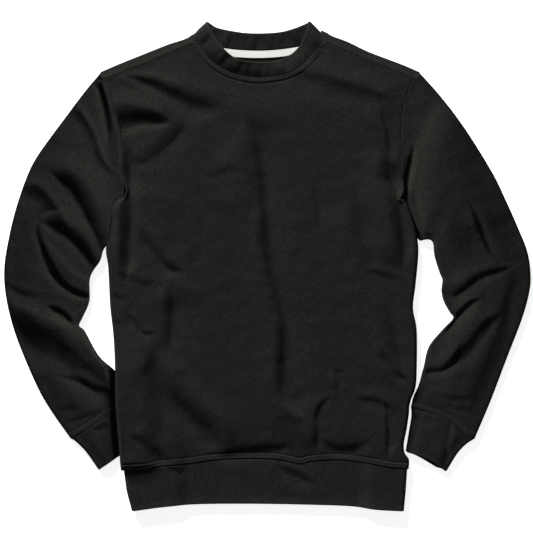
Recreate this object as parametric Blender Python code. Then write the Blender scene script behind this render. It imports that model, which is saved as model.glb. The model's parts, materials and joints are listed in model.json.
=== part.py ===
"""Crewneck sweatshirt laid out flat and face up, with both sides turned under.

Lengths are millimetres until a mesh is made. X runs to the viewer's right, Y from the hem to the neck and
Z up from the surface that the cloth lies on. Left and right are the viewer's. Outlines are seen from above.
"""

from collections import namedtuple

import bmesh
import bpy
import numpy as np

MM = 0.001

# Cloth
FLEECE = 2.4  # wall of the panels and the sleeves
RIB = 2.8  # wall of the doubled rib of the cuffs and the hem band
BAND_WALL = 3.0  # wall of the neckband
TAPE_WALL = 1.0
SEAM_GAP = 0.3  # between two pieces sewn together
LAYER_GAP = 0.8  # between two layers that lie on each other

# How the body lies: two layers in the middle, and four at its sides, which are turned under
TUCK_LEFT = 68.0  # width turned under at the left
TUCK_RIGHT = 42.0
FOLD_INSET = (3 * (FLEECE + LAYER_GAP) + FLEECE) / 2  # half the height of the four layers
BACK_INSET = 9.0  # how far inside the front's fold the back turns
HEM_BACK_INSET = 3.0  # the same for the hem band, counted from where its front's round begins
SHOULDER_HEIGHT = 8.0  # top of the cloth where it is two layers
SHOULDER_ROUND = 4.0  # how far the back panel's roll over the shoulder reaches
BACK_CLIMB = (1.0, 18.0)  # where the back comes down from the turned-under strips, inside their ends
FRONT_CLIMB = (10.0, 34.0)
ARMPIT_FADE = 30.0  # length above the armpit over which the turned-under layers end
FLAT_RIM = (2.0, 16.0)  # the folds begin to show this far inside the body's sides, and show in full here
LEAST_AIR = 0.5  # between the two walls of a tube at its deepest crease

# The left sleeve's end and its cuff, under the body's left side
CUFF_LIFT = 7.4  # how far they raise the body
LIFT_ACROSS = (-186.0, -152.0)  # x over which the body comes down again
LIFT_BELOW = (-308.0, -288.0)  # y over which it rises at the cuff's end
LIFT_ABOVE = (-168.0, -138.0)  # y over which it comes down above
CUFF_FLAT = 6.4  # their own top where the body lies on them
FREE_MARGIN = 6.0  # how far outside the body's side their top starts to rise
FREE_SLOPE = 0.55
FREE_ABOVE = (-150.0, -120.0)  # y over which the sleeve leaves the body's side

# Sleeves and cuffs
SLEEVE_ROUNDING = 4.0  # how far the rounded edge of a flattened tube reaches
SLEEVE_CROWN = 4.6  # how much higher than its edges a sleeve stands
CROWN_REACH = 45.0  # how far inside the edge it has risen so far
SLEEVE_RIM = (-3.0, 9.0)  # where the folds begin to show and show in full, inside the sleeve's edge
ARMPIT_SHARE = 0.4  # how far up the first cell of the armhole the sleeve begins
CUFF_ROUNDING = 4.2
CUFF_EDGE_HEIGHT = 8.4
CUFF_CROWN = 1.6

TAPE_WIDTH = 12.0
TAPE_BELOW_SEAM = 0.6

# Grid of each piece, in cells
PANEL_ROWS_BELOW = 21
PANEL_ROWS_ABOVE = 10
SHOULDER_CELLS = 8
NECK_CELLS = 12
TUCK_CELLS = 3
ROUND_CELLS = 4
SLEEVE_RINGS = 32
SLEEVE_TOP_CELLS = PANEL_ROWS_ABOVE + 1  # so that the sleeve and the panels meet point to point
CUFF_RINGS = 5
CUFF_CELLS = 8
HEM_ROWS = 5
HEM_CELLS = 24
TAPE_CELLS = 14
LEAST_REACH = 8.5  # a narrower fold would fall between two points of these grids

# Outlines from above, each list ordered as its comment says
SIDE_LEFT = [(-217, -302), (-218.5, -280), (-221, -250), (-224.5, -205), (-225.5, -150), (-228, -105),
             (-233, -60), (-235, -20), (-236, 5), (-238.5, 18), (-235, 36), (-229, 60), (-226, 76),
             (-220, 99)]  # hem to armpit
SIDE_RIGHT = [(209, -300), (209.5, -286), (203, -276), (202, -262), (206, -242), (209.5, -218), (210, -208),
              (213, -196), (219, -180), (221, -155), (221, -95), (215.5, -62), (219, -30), (223, 5),
              (223.5, 24), (217, 54), (211, 72), (202, 99)]  # hem to armpit
ARMHOLE_LEFT = [(-209, 112), (-215, 132), (-220, 154), (-219, 180), (-221, 205), (-229, 232),
                (-236, 258)]  # armpit to shoulder seam, both left out
ARMHOLE_RIGHT = [(202, 114), (198, 138), (197, 170), (198, 210), (202, 240), (210, 264)]
SHOULDER_SEAM_LEFT = [(-239.5, 278), (-205, 292), (-180, 301), (-150, 315), (-112, 332)]  # tip to neck
SHOULDER_SEAM_RIGHT = [(216, 278), (190, 290), (150, 306), (110, 322), (84, 332)]
SHOULDER_LINE_LEFT = [(-247.5, 288), (-220, 300), (-185, 314), (-150, 328.5), (-130, 334), (-113.5, 342.5)]
SHOULDER_LINE_RIGHT = [(225.5, 288), (200, 299), (150, 318), (120, 332.5), (88.5, 346)]
FRONT_NECK = [(-112, 332), (-103, 323), (-93, 311), (-80, 300), (-62, 289), (-40, 282), (-12, 279), (14, 282),
              (38, 290), (58, 304), (72, 318), (84, 332)]  # left to right
BACK_NECK = [(-90, 330.5), (-66, 322), (-35, 319), (-5, 318.6), (25, 321), (49, 326.8), (74, 333),
             (82, 334.5)]
HEM_SEAM = [(-216, -302), (-180, -300), (-157, -296), (-120, -293), (-74, -287), (-20, -285), (20, -287),
            (47, -293), (66, -289), (107, -287), (148, -292), (182, -298), (208, -300)]
HEM_LINE = [(-201, -362.5), (-157, -356.5), (-110, -352.5), (-40, -351.5), (40, -352.5), (120, -355),
            (160, -360), (202, -362.5)]
HEM_SIDE_LEFT = [(-213, -305), (-209, -330), (-201, -362)]
HEM_SIDE_RIGHT = [(207, -303), (205, -330), (202, -362)]

SLEEVE_OUTER_LEFT = [(-248, 286), (-269, 261), (-300, 220), (-342, 162), (-360, 124), (-375, 78), (-384, 39),
                     (-390, 1), (-389, -35), (-380, -80), (-367, -119), (-340, -181), (-318, -218),
                     (-291, -256)]  # shoulder tip to cuff
SLEEVE_INNER_LEFT = [(-215, 102), (-222.5, 101), (-227.5, 90), (-228.5, 77), (-232, 60), (-238, 40),
                     (-243, 25), (-248, 8), (-259, -8), (-263.5, -22), (-264, -52), (-274, -76), (-279, -88),
                     (-270, -97), (-250, -132), (-226, -155), (-212, -178), (-207, -197)]  # armpit to cuff
SLEEVE_OUTER_RIGHT = [(226, 286), (258, 250), (295, 200), (333, 139), (353, 98), (370, 60), (385, 22),
                      (390, -14), (387, -43), (376, -81), (354, -138), (330, -201), (307, -255)]
SLEEVE_INNER_RIGHT = [(198, 102), (205, 102), (209.5, 86), (214.5, 70), (219.5, 56), (224.5, 42), (234, 41),
                      (245, 34), (247.5, 14), (255, -10), (259, -20), (257.5, -36), (261, -52), (270, -68),
                      (275, -77), (259, -94), (239, -119), (231, -150), (224, -176), (216.5, -192),
                      (212.5, -208)]
CUFF_SEAM_LEFT = [(-291, -256), (-271, -244), (-254, -233), (-236, -221), (-207, -197)]  # outer to inner
CUFF_SEAM_RIGHT = [(307, -255), (295, -249), (280, -236.5), (262, -225.5), (239, -217), (212.5, -208)]
CUFF_END_LEFT = [(-250, -302), (-221, -282), (-192, -262)]
CUFF_END_RIGHT = [(265, -304), (251, -293), (232, -283), (204.5, -274)]
CUFF_OUTER_LEFT = [(-290, -256), (-284, -260), (-269, -275), (-250, -302)]  # seam to end
CUFF_OUTER_RIGHT = [(306, -256), (294, -264), (281, -278), (265, -304)]
CUFF_INNER_LEFT = [(-207, -197), (-201, -225), (-192, -262)]
CUFF_INNER_RIGHT = [(212.5, -208), (213, -222), (209, -247), (204.5, -274)]

# The neckband's middle surface, round from the front's middle by the left: its seam and its folded edge
Station = namedtuple("Station", "seam edge")
NECKBAND = [
    Station((-12, 281, 7.0), (-12, 302, 20.0)),
    Station((-38, 283.5, 7.0), (-33, 303.5, 19.5)),
    Station((-60, 291, 7.0), (-50, 309.5, 18.5)),
    Station((-79, 302.5, 7.0), (-63, 320, 17.0)),
    Station((-92, 314, 7.2), (-73, 332, 14.5)),
    Station((-101, 326.5, 7.4), (-81, 345, 12.0)),
    Station((-106, 337, 7.4), (-86.5, 355, 9.4)),
    Station((-108, 341.5, 4.6), (-88.5, 359, 5.8)),
    Station((-103, 338, 1.7), (-84, 356.5, 2.4)),
    Station((-85, 330.5, 1.7), (-75, 351.5, 3.0)),
    Station((-60, 323.5, 1.7), (-56, 346, 3.4)),
    Station((-32, 321.3, 1.7), (-32, 343, 3.6)),
    Station((-4, 321, 1.7), (-5, 342, 3.6)),
    Station((24, 323.3, 1.7), (20, 344.5, 3.4)),
    Station((50, 329, 1.7), (39, 349.5, 3.0)),
    Station((75, 335.5, 1.7), (56, 356.5, 2.4)),
    Station((82, 338, 4.6), (62, 360, 5.8)),
    Station((79.5, 332.5, 7.4), (60.5, 356, 9.4)),
    Station((73, 322, 7.4), (56, 345, 12.0)),
    Station((63, 309.5, 7.2), (49.5, 330, 14.5)),
    Station((49, 298, 7.0), (38.5, 317, 17.0)),
    Station((31, 288.5, 7.0), (24, 308.5, 18.5)),
    Station((10, 283, 7.0), (7, 303, 19.5)),
]

# Folds seen from above. reach is how far one falls off to the left and the right of the way its path runs
Fold = namedtuple("Fold", "path height reach")
FOLDS = [
    # front, the slack from the left shoulder
    Fold([(-215, 281), (-160, 281), (-110, 271), (-60, 254)], 2.6, (14, 14)),
    Fold([(-190, 277), (-160, 262), (-138, 247), (-110, 236)], -3.4, (14, 10)),
    Fold([(-240, 266), (-205, 257), (-170, 244), (-126, 216)], 6.0, (13, 13)),
    Fold([(-222, 216), (-205, 203), (-180, 207), (-150, 217)], -4.6, (14, 9)),
    Fold([(-205, 186), (-178, 192), (-148, 205)], 3.2, (12, 12)),
    Fold([(-124, 212), (-138, 184), (-160, 164), (-192, 152)], -4.0, (7, 10)),
    Fold([(-212, 160), (-207, 125), (-204, 80), (-204, 45), (-207, 14)], -5.0, (8, 8)),
    # front, the long crease down the middle
    Fold([(-28, 195), (-14, 165), (-10, 110), (-2, 30), (12, -30), (21, -90), (20, -190), (38, -210)],
         -3.6, (9, 20)),
    # front, the slack from the right shoulder and armhole
    Fold([(45, 287), (90, 280), (140, 268), (180, 256)], 3.4, (13, 13)),
    Fold([(55, 262), (100, 252), (140, 245), (178, 246)], -3.0, (10, 10)),
    Fold([(166, 238), (170, 215), (176, 190)], -2.2, (7, 7)),
    Fold([(122, 192), (148, 160), (172, 125), (186, 90), (191, 50), (199, 8)], -4.0, (12, 10)),
    Fold([(150, 182), (186, 150), (200, 100)], 2.2, (12, 12)),
    # front, the fullness of the body and its fall to the hem
    Fold([(-110, 130), (-80, 40), (-70, -120)], 2.4, (60, 60)),
    Fold([(90, 120), (95, 0), (100, -180)], 3.0, (60, 60)),
    Fold([(-172, -135), (-152, -185), (-122, -212), (-90, -250)], -4.0, (20, 12)),
    Fold([(-150, -35), (-143, -75), (-146, -125)], -2.4, (9, 9)),
    Fold([(-64, -276), (-20, -276), (26, -274)], -3.2, (9, 9)),
    Fold([(84, -272), (125, -268)], -3.0, (9, 9)),
    Fold([(98, -188), (76, -208), (70, -228), (69, -268)], -2.8, (7, 7)),
    Fold([(88, -150), (107, -176)], -2.4, (7, 7)),
    Fold([(172, -120), (184, -150), (206, -166)], -2.8, (9, 9)),
    Fold([(146, -200), (174, -199), (178, -240), (176, -272)], -2.4, (9, 9)),
    Fold([(-200, -246), (-175, -258), (-150, -280)], -2.8, (8, 9)),
    Fold([(-172, 45), (-155, 15), (-135, -5)], -2.4, (9, 9)),
    # hem band
    Fold([(22, -297), (45, -306), (66, -318)], -2.4, (9, 9)),
    # left sleeve, armhole to cuff
    Fold([(-276, 248), (-258, 212), (-240, 172), (-227, 140)], 5.0, (9, 9)),
    Fold([(-243, 252), (-237, 215), (-234, 190)], -3.4, (7, 7)),
    Fold([(-222, 146), (-214, 126), (-213, 108)], -4.0, (8, 8)),
    Fold([(-330, 152), (-295, 150), (-262, 120), (-246, 88)], 5.4, (18, 13)),
    Fold([(-318, 130), (-296, 122), (-280, 104), (-262, 72), (-243, 44)], -5.2, (9, 9)),
    Fold([(-354, 116), (-322, 110), (-302, 90), (-280, 65), (-252, 40)], 5.0, (9, 9)),
    Fold([(-325, 63), (-300, 61), (-280, 44), (-256, 18)], -5.0, (8, 11)),
    Fold([(-336, 70), (-332, 35), (-318, 5), (-306, -22), (-288, -40), (-268, -50)], -3.4, (9, 8)),
    Fold([(-330, 56), (-317, 27), (-298, 9), (-268, -8)], 4.4, (9, 9)),
    Fold([(-386, -54), (-340, -61), (-300, -58), (-270, -54)], 5.0, (10, 10)),
    Fold([(-318, -68), (-300, -82), (-277, -100), (-255, -126), (-242, -146)], 4.0, (9, 9)),
    Fold([(-368, -88), (-344, -115), (-318, -142), (-288, -158), (-243, -162)], -5.4, (22, 9)),
    Fold([(-300, -161), (-269, -167), (-248, -172)], 3.4, (8, 8)),
    Fold([(-288, -170), (-258, -181), (-230, -192)], -2.8, (9, 9)),
    Fold([(-237, 84), (-235, 56), (-238, 36)], -6.5, (9, 9)),
    # right sleeve, armhole to cuff
    Fold([(267, 225), (282, 190), (292, 150), (299, 113)], -2.4, (14, 14)),
    Fold([(238, 246), (230, 200), (224, 160)], 3.0, (12, 12)),
    Fold([(288, 112), (298, 62), (312, 22), (345, -1)], 4.0, (11, 9)),
    Fold([(304, 104), (312, 66), (322, 42), (342, 12), (364, 1)], -4.6, (9, 9)),
    Fold([(334, 56), (358, 18), (380, -12)], 4.0, (9, 9)),
    Fold([(364, -8), (322, -13), (300, -27), (279, -39), (264, -24)], -4.6, (9, 9)),
    Fold([(374, -10), (344, -34), (314, -64), (284, -106), (258, -130)], 6.0, (11, 11)),
    Fold([(306, -53), (290, -62), (278, -76)], -3.0, (8, 8)),
    Fold([(352, -74), (325, -85), (314, -108), (292, -125), (270, -138), (240, -156)], -5.0, (9, 10)),
    Fold([(347, -94), (322, -119), (298, -138), (262, -164)], 4.0, (9, 9)),
    Fold([(219, 146), (211, 122), (207, 100), (218, 68), (229, 50)], -7.0, (11, 9)),
]

Finish = namedtuple("Finish", "name color roughness")
BLACK_FLEECE = Finish("black_fleece_jersey", (0.0137, 0.0137, 0.0123), 0.95)
BLACK_RIB = Finish("black_rib_knit", (0.0137, 0.0137, 0.0123), 0.92)
WHITE_TAPE = Finish("white_woven_tape", (0.78, 0.78, 0.76), 0.85)


# ---------------------------------------------------------------------------------- curves and heights


def ease(t):
    """0 below 0, 1 above 1 and a smooth rise between them."""
    t = np.clip(t, 0.0, 1.0)
    return t * t * (3.0 - 2.0 * t)


def ramp(value, ends):
    """0 before the first end, 1 after the second and a smooth rise between them."""
    return ease((value - ends[0]) / (ends[1] - ends[0]))


def smooth_curve(points, closed=False, steps=10):
    """Points on a smooth curve through the given ones, steps for each stretch."""
    p = np.array(points, float)
    if closed:
        p = np.vstack([p[-1:], p, p[:2]])
    else:
        p = np.vstack([2 * p[0] - p[1], p, 2 * p[-1] - p[-2]])
    t = (np.arange(steps) / steps)[:, None]
    runs = []
    for a, b, c, d in zip(p, p[1:], p[2:], p[3:]):
        bend = 2 * a - 5 * b + 4 * c - d
        turn = 3 * (b - c) + d - a
        runs.append(b + 0.5 * t * (c - a + t * (bend + t * turn)))
    if not closed:
        runs.append(p[-2:-1])
    return np.vstack(runs)


def even_points(points, cells):
    """cells + 1 points, evenly spaced along the smooth curve through the given points."""
    fine = smooth_curve(points)
    length = np.concatenate([[0.0], np.cumsum(np.linalg.norm(np.diff(fine, axis=0), axis=1))])
    wanted = np.linspace(0.0, length[-1], cells + 1)
    return np.stack([np.interp(wanted, length, fine[:, k]) for k in range(fine.shape[1])], axis=1)


def joined(*runs):
    """Runs of points end to end, each run's first point dropped where it repeats the one before."""
    return np.vstack([runs[0]] + [run[1:] for run in runs[1:]])


def across_path(x, y, path):
    """For each place: its distance from the path, its side of it, and how far along its nearest point is."""
    nearest = np.full(x.shape, np.inf)
    side = np.ones(x.shape)
    along = np.zeros(x.shape)
    start = path[:-1]
    run = np.diff(path, axis=0)
    length = np.linalg.norm(run, axis=1)
    before = np.concatenate([[0.0], np.cumsum(length)])
    for (ax, ay), (rx, ry), size, passed in zip(start, run, length, before):
        t = np.clip(((x - ax) * rx + (y - ay) * ry) / size**2, 0.0, 1.0)
        dx = x - ax - t * rx
        dy = y - ay - t * ry
        distance = np.hypot(dx, dy)
        closer = distance < nearest
        nearest = np.where(closer, distance, nearest)
        side = np.where(closer, np.sign(rx * dy - ry * dx), side)
        along = np.where(closer, (passed + t * size) / before[-1], along)
    return nearest, side, along


def relief(x, y):
    """What the folds add to the height of the cloth."""
    x, y = np.broadcast_arrays(np.asarray(x, float), np.asarray(y, float))
    total = np.zeros(x.shape)
    for fold in FOLDS:
        distance, side, along = across_path(x, y, smooth_curve(fold.path, steps=4))
        left, right = fold.reach
        reach = np.maximum(np.where(side > 0, left, right), LEAST_REACH)
        fade = ease(along / 0.25) * ease((1.0 - along) / 0.25)
        total += fold.height * (0.35 + 0.65 * fade) * np.exp(-((distance / reach) ** 2))
    return total


def edge_x(side, y):
    """Where the body's side lies at a distance y from the middle of the length."""
    outline = smooth_curve(side)
    return np.interp(y, outline[:, 1], outline[:, 0])


def inside_sides(x, y):
    """How far a place lies inside the inner ends of the two turned-under strips."""
    left = x - edge_x(SIDE_LEFT, y) - TUCK_LEFT
    right = edge_x(SIDE_RIGHT, y) - TUCK_RIGHT - x
    return left, right


def layered(x, y, climb):
    """1 where the body lies on its turned-under strips, and 0 past the climb inside their ends."""
    left, right = inside_sides(x, y)
    across = np.maximum(1 - ramp(left, climb), 1 - ramp(right, climb))
    armpit = SIDE_LEFT[-1][1]
    return across * (1 - ramp(y, (armpit, armpit + ARMPIT_FADE)))


def levels(wall):
    """Undersides of the four layers at a side: front strip, back strip, back and front."""
    return [layer * (wall + LAYER_GAP) for layer in range(4)]


def back_base(x, y, wall=FLEECE):
    """Underside of the back, which climbs onto the turned-under strips."""
    return levels(wall)[2] * layered(x, y, BACK_CLIMB)


def front_top(x, y):
    """Top of the front: two layers in the middle, four at the sides, with the folds added."""
    side_height = 2 * FOLD_INSET
    base = SHOULDER_HEIGHT + (side_height - SHOULDER_HEIGHT) * layered(x, y, FRONT_CLIMB)
    edge = np.minimum(x - edge_x(SIDE_LEFT, y), edge_x(SIDE_RIGHT, y) - x)
    folds = relief(x, y) * ramp(edge, FLAT_RIM)
    least = back_base(x, y) + 2 * FLEECE + LEAST_AIR
    return np.maximum(base + folds, least)


def lift(x, y):
    """How far the body is raised by the sleeve end and cuff that lie under its left side."""
    across = 1 - ramp(x, LIFT_ACROSS)
    along = ramp(y, LIFT_BELOW) * (1 - ramp(y, LIFT_ABOVE))
    return CUFF_LIFT * across * along


# ---------------------------------------------------------------------------------- building a wall


def material(finish):
    made = bpy.data.materials.get(finish.name)
    if made is None:
        made = bpy.data.materials.new(finish.name)
        made.use_nodes = True
        shader = made.node_tree.nodes["Principled BSDF"]
        shader.inputs["Base Color"].default_value = (*finish.color, 1.0)
        shader.inputs["Roughness"].default_value = finish.roughness
        shader.inputs["Metallic"].default_value = 0.0
        made.diffuse_color = (*finish.color, 1.0)
    return made


def wall_faces(present, columns, ring):
    """Quads of a wall between two grids: both faces, and a rim where a cell has no neighbour.

    A corner is (is_inner, row, column). ring says that the last column joins the first.
    """
    rows, cells = present.shape

    def column(c):
        return c % columns if ring else c

    def there(r, c):
        if ring:
            c %= cells
        return 0 <= r < rows and 0 <= c < cells and present[r, c]

    for r in range(rows):
        for c in range(cells):
            if not present[r, c]:
                continue
            corners = [(r, column(c)), (r, column(c + 1)), (r + 1, column(c + 1)), (r + 1, column(c))]
            yield [(False, *corner) for corner in corners]
            yield [(True, *corner) for corner in reversed(corners)]
            for k, step in enumerate([(-1, 0), (0, 1), (1, 0), (0, -1)]):
                if not there(r + step[0], c + step[1]):
                    a, b = corners[k], corners[(k + 1) % 4]
                    yield [(False, *b), (False, *a), (True, *a), (True, *b)]


def build_wall(name, outer, inner, finish, present=None, ring=False):
    """One closed piece of cloth between an outer and an inner grid of points."""
    rows, columns = outer.shape[:2]
    if present is None:
        present = np.ones((rows - 1, columns if ring else columns - 1), bool)
    grids = {False: outer, True: inner}
    mesh = bmesh.new()
    made = {}

    def vertex(corner):
        if corner not in made:
            made[corner] = mesh.verts.new(grids[corner[0]][corner[1], corner[2]] * MM)
        return made[corner]

    for quad in wall_faces(present, columns, ring):
        mesh.faces.new([vertex(corner) for corner in quad])
    bmesh.ops.triangulate(mesh, faces=mesh.faces[:])
    bmesh.ops.recalc_face_normals(mesh, faces=mesh.faces[:])
    data = bpy.data.meshes.new(name)
    mesh.to_mesh(data)
    mesh.free()
    data.shade_smooth()
    data.materials.append(material(finish))
    piece = bpy.data.objects.new(name, data)
    bpy.context.scene.collection.objects.link(piece)
    return piece


def patch(bottom, top, left, right):
    """Grid of places between four edges that meet at their corners, row by row from the bottom."""
    u = np.linspace(0.0, 1.0, len(bottom))[None, :, None]
    v = np.linspace(0.0, 1.0, len(left))[:, None, None]
    across = (1 - u) * left[:, None] + u * right[:, None]
    up = (1 - v) * bottom[None] + v * top[None]
    corners = (1 - v) * ((1 - u) * bottom[0] + u * bottom[-1]) + v * ((1 - u) * top[0] + u * top[-1])
    return across + up - corners


def bend(centre_x, y, side, low, high, outward, wall, turn):
    """Points round the rounded edge of a folded layer, from its lower run to its upper one.

    side is -1 at the left and 1 at the right. low and high are the outer faces of the two runs, and outward
    is how far the outer face reaches past centre_x. turn lists the angles from straight down.
    """
    middle = (low + high) / 2
    half = (high - low) / 2
    outer, inner = [], []
    for angle in turn:
        sine, cosine = np.sin(angle), np.cos(angle)
        outer.append((centre_x + side * outward * sine, y, middle - half * cosine))
        inner.append((centre_x + side * (outward - wall) * sine, y, middle - (half - wall) * cosine))
    return np.array(outer), np.array(inner)


ROUND_ANGLES = np.linspace(0.0, np.pi, ROUND_CELLS + 1)


# ---------------------------------------------------------------------------------- the body


def armhole_points(side, inset, armhole, seam, shoulder_line):
    """Points up an armhole from the armpit to the shoulder seam, and then to the tip of the shoulder."""
    armpit = (side[-1][0] + inset, side[-1][1])
    tip = (shoulder_line[0][0], shoulder_line[0][1] - SHOULDER_ROUND)
    return joined(even_points([armpit] + armhole + [seam[0]], PANEL_ROWS_ABOVE),
                  np.array([seam[0], tip], float))


def left_armhole():
    return armhole_points(SIDE_LEFT, FOLD_INSET, ARMHOLE_LEFT, SHOULDER_SEAM_LEFT, SHOULDER_LINE_LEFT)


def right_armhole():
    return armhole_points(SIDE_RIGHT, -FOLD_INSET, ARMHOLE_RIGHT, SHOULDER_SEAM_RIGHT, SHOULDER_LINE_RIGHT)


def body_plan(inset, armhole_rows, top):
    """Places of a body panel between its two folded sides, its armholes, the hem seam and its top edge."""
    sides = (even_points(SIDE_LEFT, PANEL_ROWS_BELOW) + [inset, 0.0],
             even_points(SIDE_RIGHT, PANEL_ROWS_BELOW) - [inset, 0.0])
    left = joined(sides[0], left_armhole()[:armhole_rows])
    right = joined(sides[1], right_armhole()[:armhole_rows])
    bottom = even_points(HEM_SEAM, len(top) - 1)
    bottom[0], bottom[-1] = left[0], right[0]
    plan = patch(bottom, top, left, right)
    plan[:, 0, 0] += SEAM_GAP
    plan[:, -1, 0] -= SEAM_GAP
    plan[0, :, 1] += SEAM_GAP
    return plan


def front_panel():
    edge = joined(even_points(SHOULDER_SEAM_LEFT, SHOULDER_CELLS), even_points(FRONT_NECK, NECK_CELLS),
                  even_points(SHOULDER_SEAM_RIGHT[::-1], SHOULDER_CELLS))
    plan = body_plan(FOLD_INSET, PANEL_ROWS_ABOVE + 1, edge)
    plan[-1, :, 1] -= SEAM_GAP
    x, y = plan[..., 0], plan[..., 1]
    top = front_top(x, y)
    outer_top = np.dstack([x, y, top])
    inner_top = np.dstack([x, y, top - FLEECE])
    rows = len(plan)
    folded = {}
    for side, column, tuck in ((-1, 0, TUCK_LEFT), (1, -1, TUCK_RIGHT)):
        outer, inner = [], []
        for r in range(rows):
            cx, cy, height = outer_top[r, column]
            round_outer, round_inner = bend(cx, cy, side, 0.0, height, FOLD_INSET, FLEECE, ROUND_ANGLES[:-1])
            under = np.linspace(cx - side * (tuck - FOLD_INSET), cx, TUCK_CELLS + 1)[:-1]
            under_outer = np.stack([under, np.full(TUCK_CELLS, cy), np.zeros(TUCK_CELLS)], axis=1)
            outer.append(np.vstack([under_outer, round_outer]))
            inner.append(np.vstack([under_outer + [0, 0, FLEECE], round_inner]))
        folded[side] = np.array(outer), np.array(inner)
    grids = []
    for k, middle in enumerate((outer_top, inner_top)):
        grid = np.concatenate([folded[-1][k], middle, folded[1][k][:, ::-1]], axis=1)
        grid[..., 2] += lift(grid[..., 0], grid[..., 1])
        grids.append(grid)
    wrapped = TUCK_CELLS + ROUND_CELLS
    present = np.ones((rows - 1, grids[0].shape[1] - 1), bool)
    present[PANEL_ROWS_BELOW:, :wrapped] = False
    present[PANEL_ROWS_BELOW:, -wrapped:] = False
    return build_wall("front_panel", grids[0], grids[1], BLACK_FLEECE, present)


def back_panel():
    drop = np.array([0.0, -SHOULDER_ROUND])
    shoulder_left = even_points(SHOULDER_LINE_LEFT, SHOULDER_CELLS) + drop
    shoulder_right = even_points(SHOULDER_LINE_RIGHT, SHOULDER_CELLS) + drop
    neck = even_points([shoulder_left[-1]] + BACK_NECK + [shoulder_right[-1]], NECK_CELLS)
    edge = joined(shoulder_left, neck, shoulder_right[::-1])
    plan = body_plan(BACK_INSET, PANEL_ROWS_ABOVE + 2, edge)
    x, y = plan[..., 0], plan[..., 1]
    base = back_base(x, y)
    outer = np.dstack([x, y, base])
    inner = np.dstack([x, y, base + FLEECE])

    # over the shoulders to the forward seams
    seam_left = even_points(SHOULDER_SEAM_LEFT, SHOULDER_CELLS)
    seam_right = even_points(SHOULDER_SEAM_RIGHT, SHOULDER_CELLS)[::-1]
    over_outer = np.repeat(outer[-1:], ROUND_CELLS + 2, axis=0)
    over_inner = over_outer.copy()
    for first, seam in ((0, seam_left), (len(edge) - SHOULDER_CELLS - 1, seam_right)):
        for k in range(SHOULDER_CELLS + 1):
            px, py = plan[-1, first + k]
            rounds = bend(py, 0.0, 1, 0.0, SHOULDER_HEIGHT, SHOULDER_ROUND, FLEECE, ROUND_ANGLES[1:])
            for grid, turned, depth in ((over_outer, rounds[0], 0.0), (over_inner, rounds[1], FLEECE)):
                grid[:-2, first + k, 0] = px
                grid[:-2, first + k, 1:] = turned[:, [0, 2]]
                end = seam[k] + [0.0, SEAM_GAP]
                middle = (end + [px, py]) / 2
                grid[-2, first + k] = (*middle, SHOULDER_HEIGHT - depth)
                grid[-1, first + k] = (*end, SHOULDER_HEIGHT - depth)
    outer = np.concatenate([outer, over_outer])
    inner = np.concatenate([inner, over_inner])

    # back again under itself along the turned-under strips
    strips = {}
    low, high = levels(FLEECE)[1], levels(FLEECE)[2] + FLEECE
    for side, column, tuck in ((-1, 0, TUCK_LEFT), (1, -1, TUCK_RIGHT)):
        made = []
        for r in range(len(outer)):
            cx, cy = outer[r, column, :2]
            round_out, round_in = bend(cx, cy, side, low, high, (high - low) / 2, FLEECE, ROUND_ANGLES[:-1])
            under = np.linspace(cx - side * (tuck - BACK_INSET), cx, TUCK_CELLS + 1)[:-1]
            strip = np.stack([under, np.full(TUCK_CELLS, cy), np.full(TUCK_CELLS, low)], axis=1)
            made.append((np.vstack([strip, round_out]), np.vstack([strip + [0, 0, FLEECE], round_in])))
        strips[side] = [np.array([pair[k] for pair in made]) for k in (1, 0)]
    grids = []
    for k, middle in enumerate((outer, inner)):
        grid = np.concatenate([strips[-1][k], middle, strips[1][k][:, ::-1]], axis=1)
        grid[..., 2] += lift(grid[..., 0], grid[..., 1])
        grids.append(grid)
    rows, columns = grids[0].shape[:2]
    wrapped = TUCK_CELLS + ROUND_CELLS
    present = np.ones((rows - 1, columns - 1), bool)
    present[PANEL_ROWS_BELOW:, :wrapped] = False
    present[PANEL_ROWS_BELOW:, -wrapped:] = False
    first_neck = wrapped + SHOULDER_CELLS
    present[len(plan) - 1:, first_neck:first_neck + NECK_CELLS] = False
    return build_wall("back_panel", grids[0], grids[1], BLACK_FLEECE, present)


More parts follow.
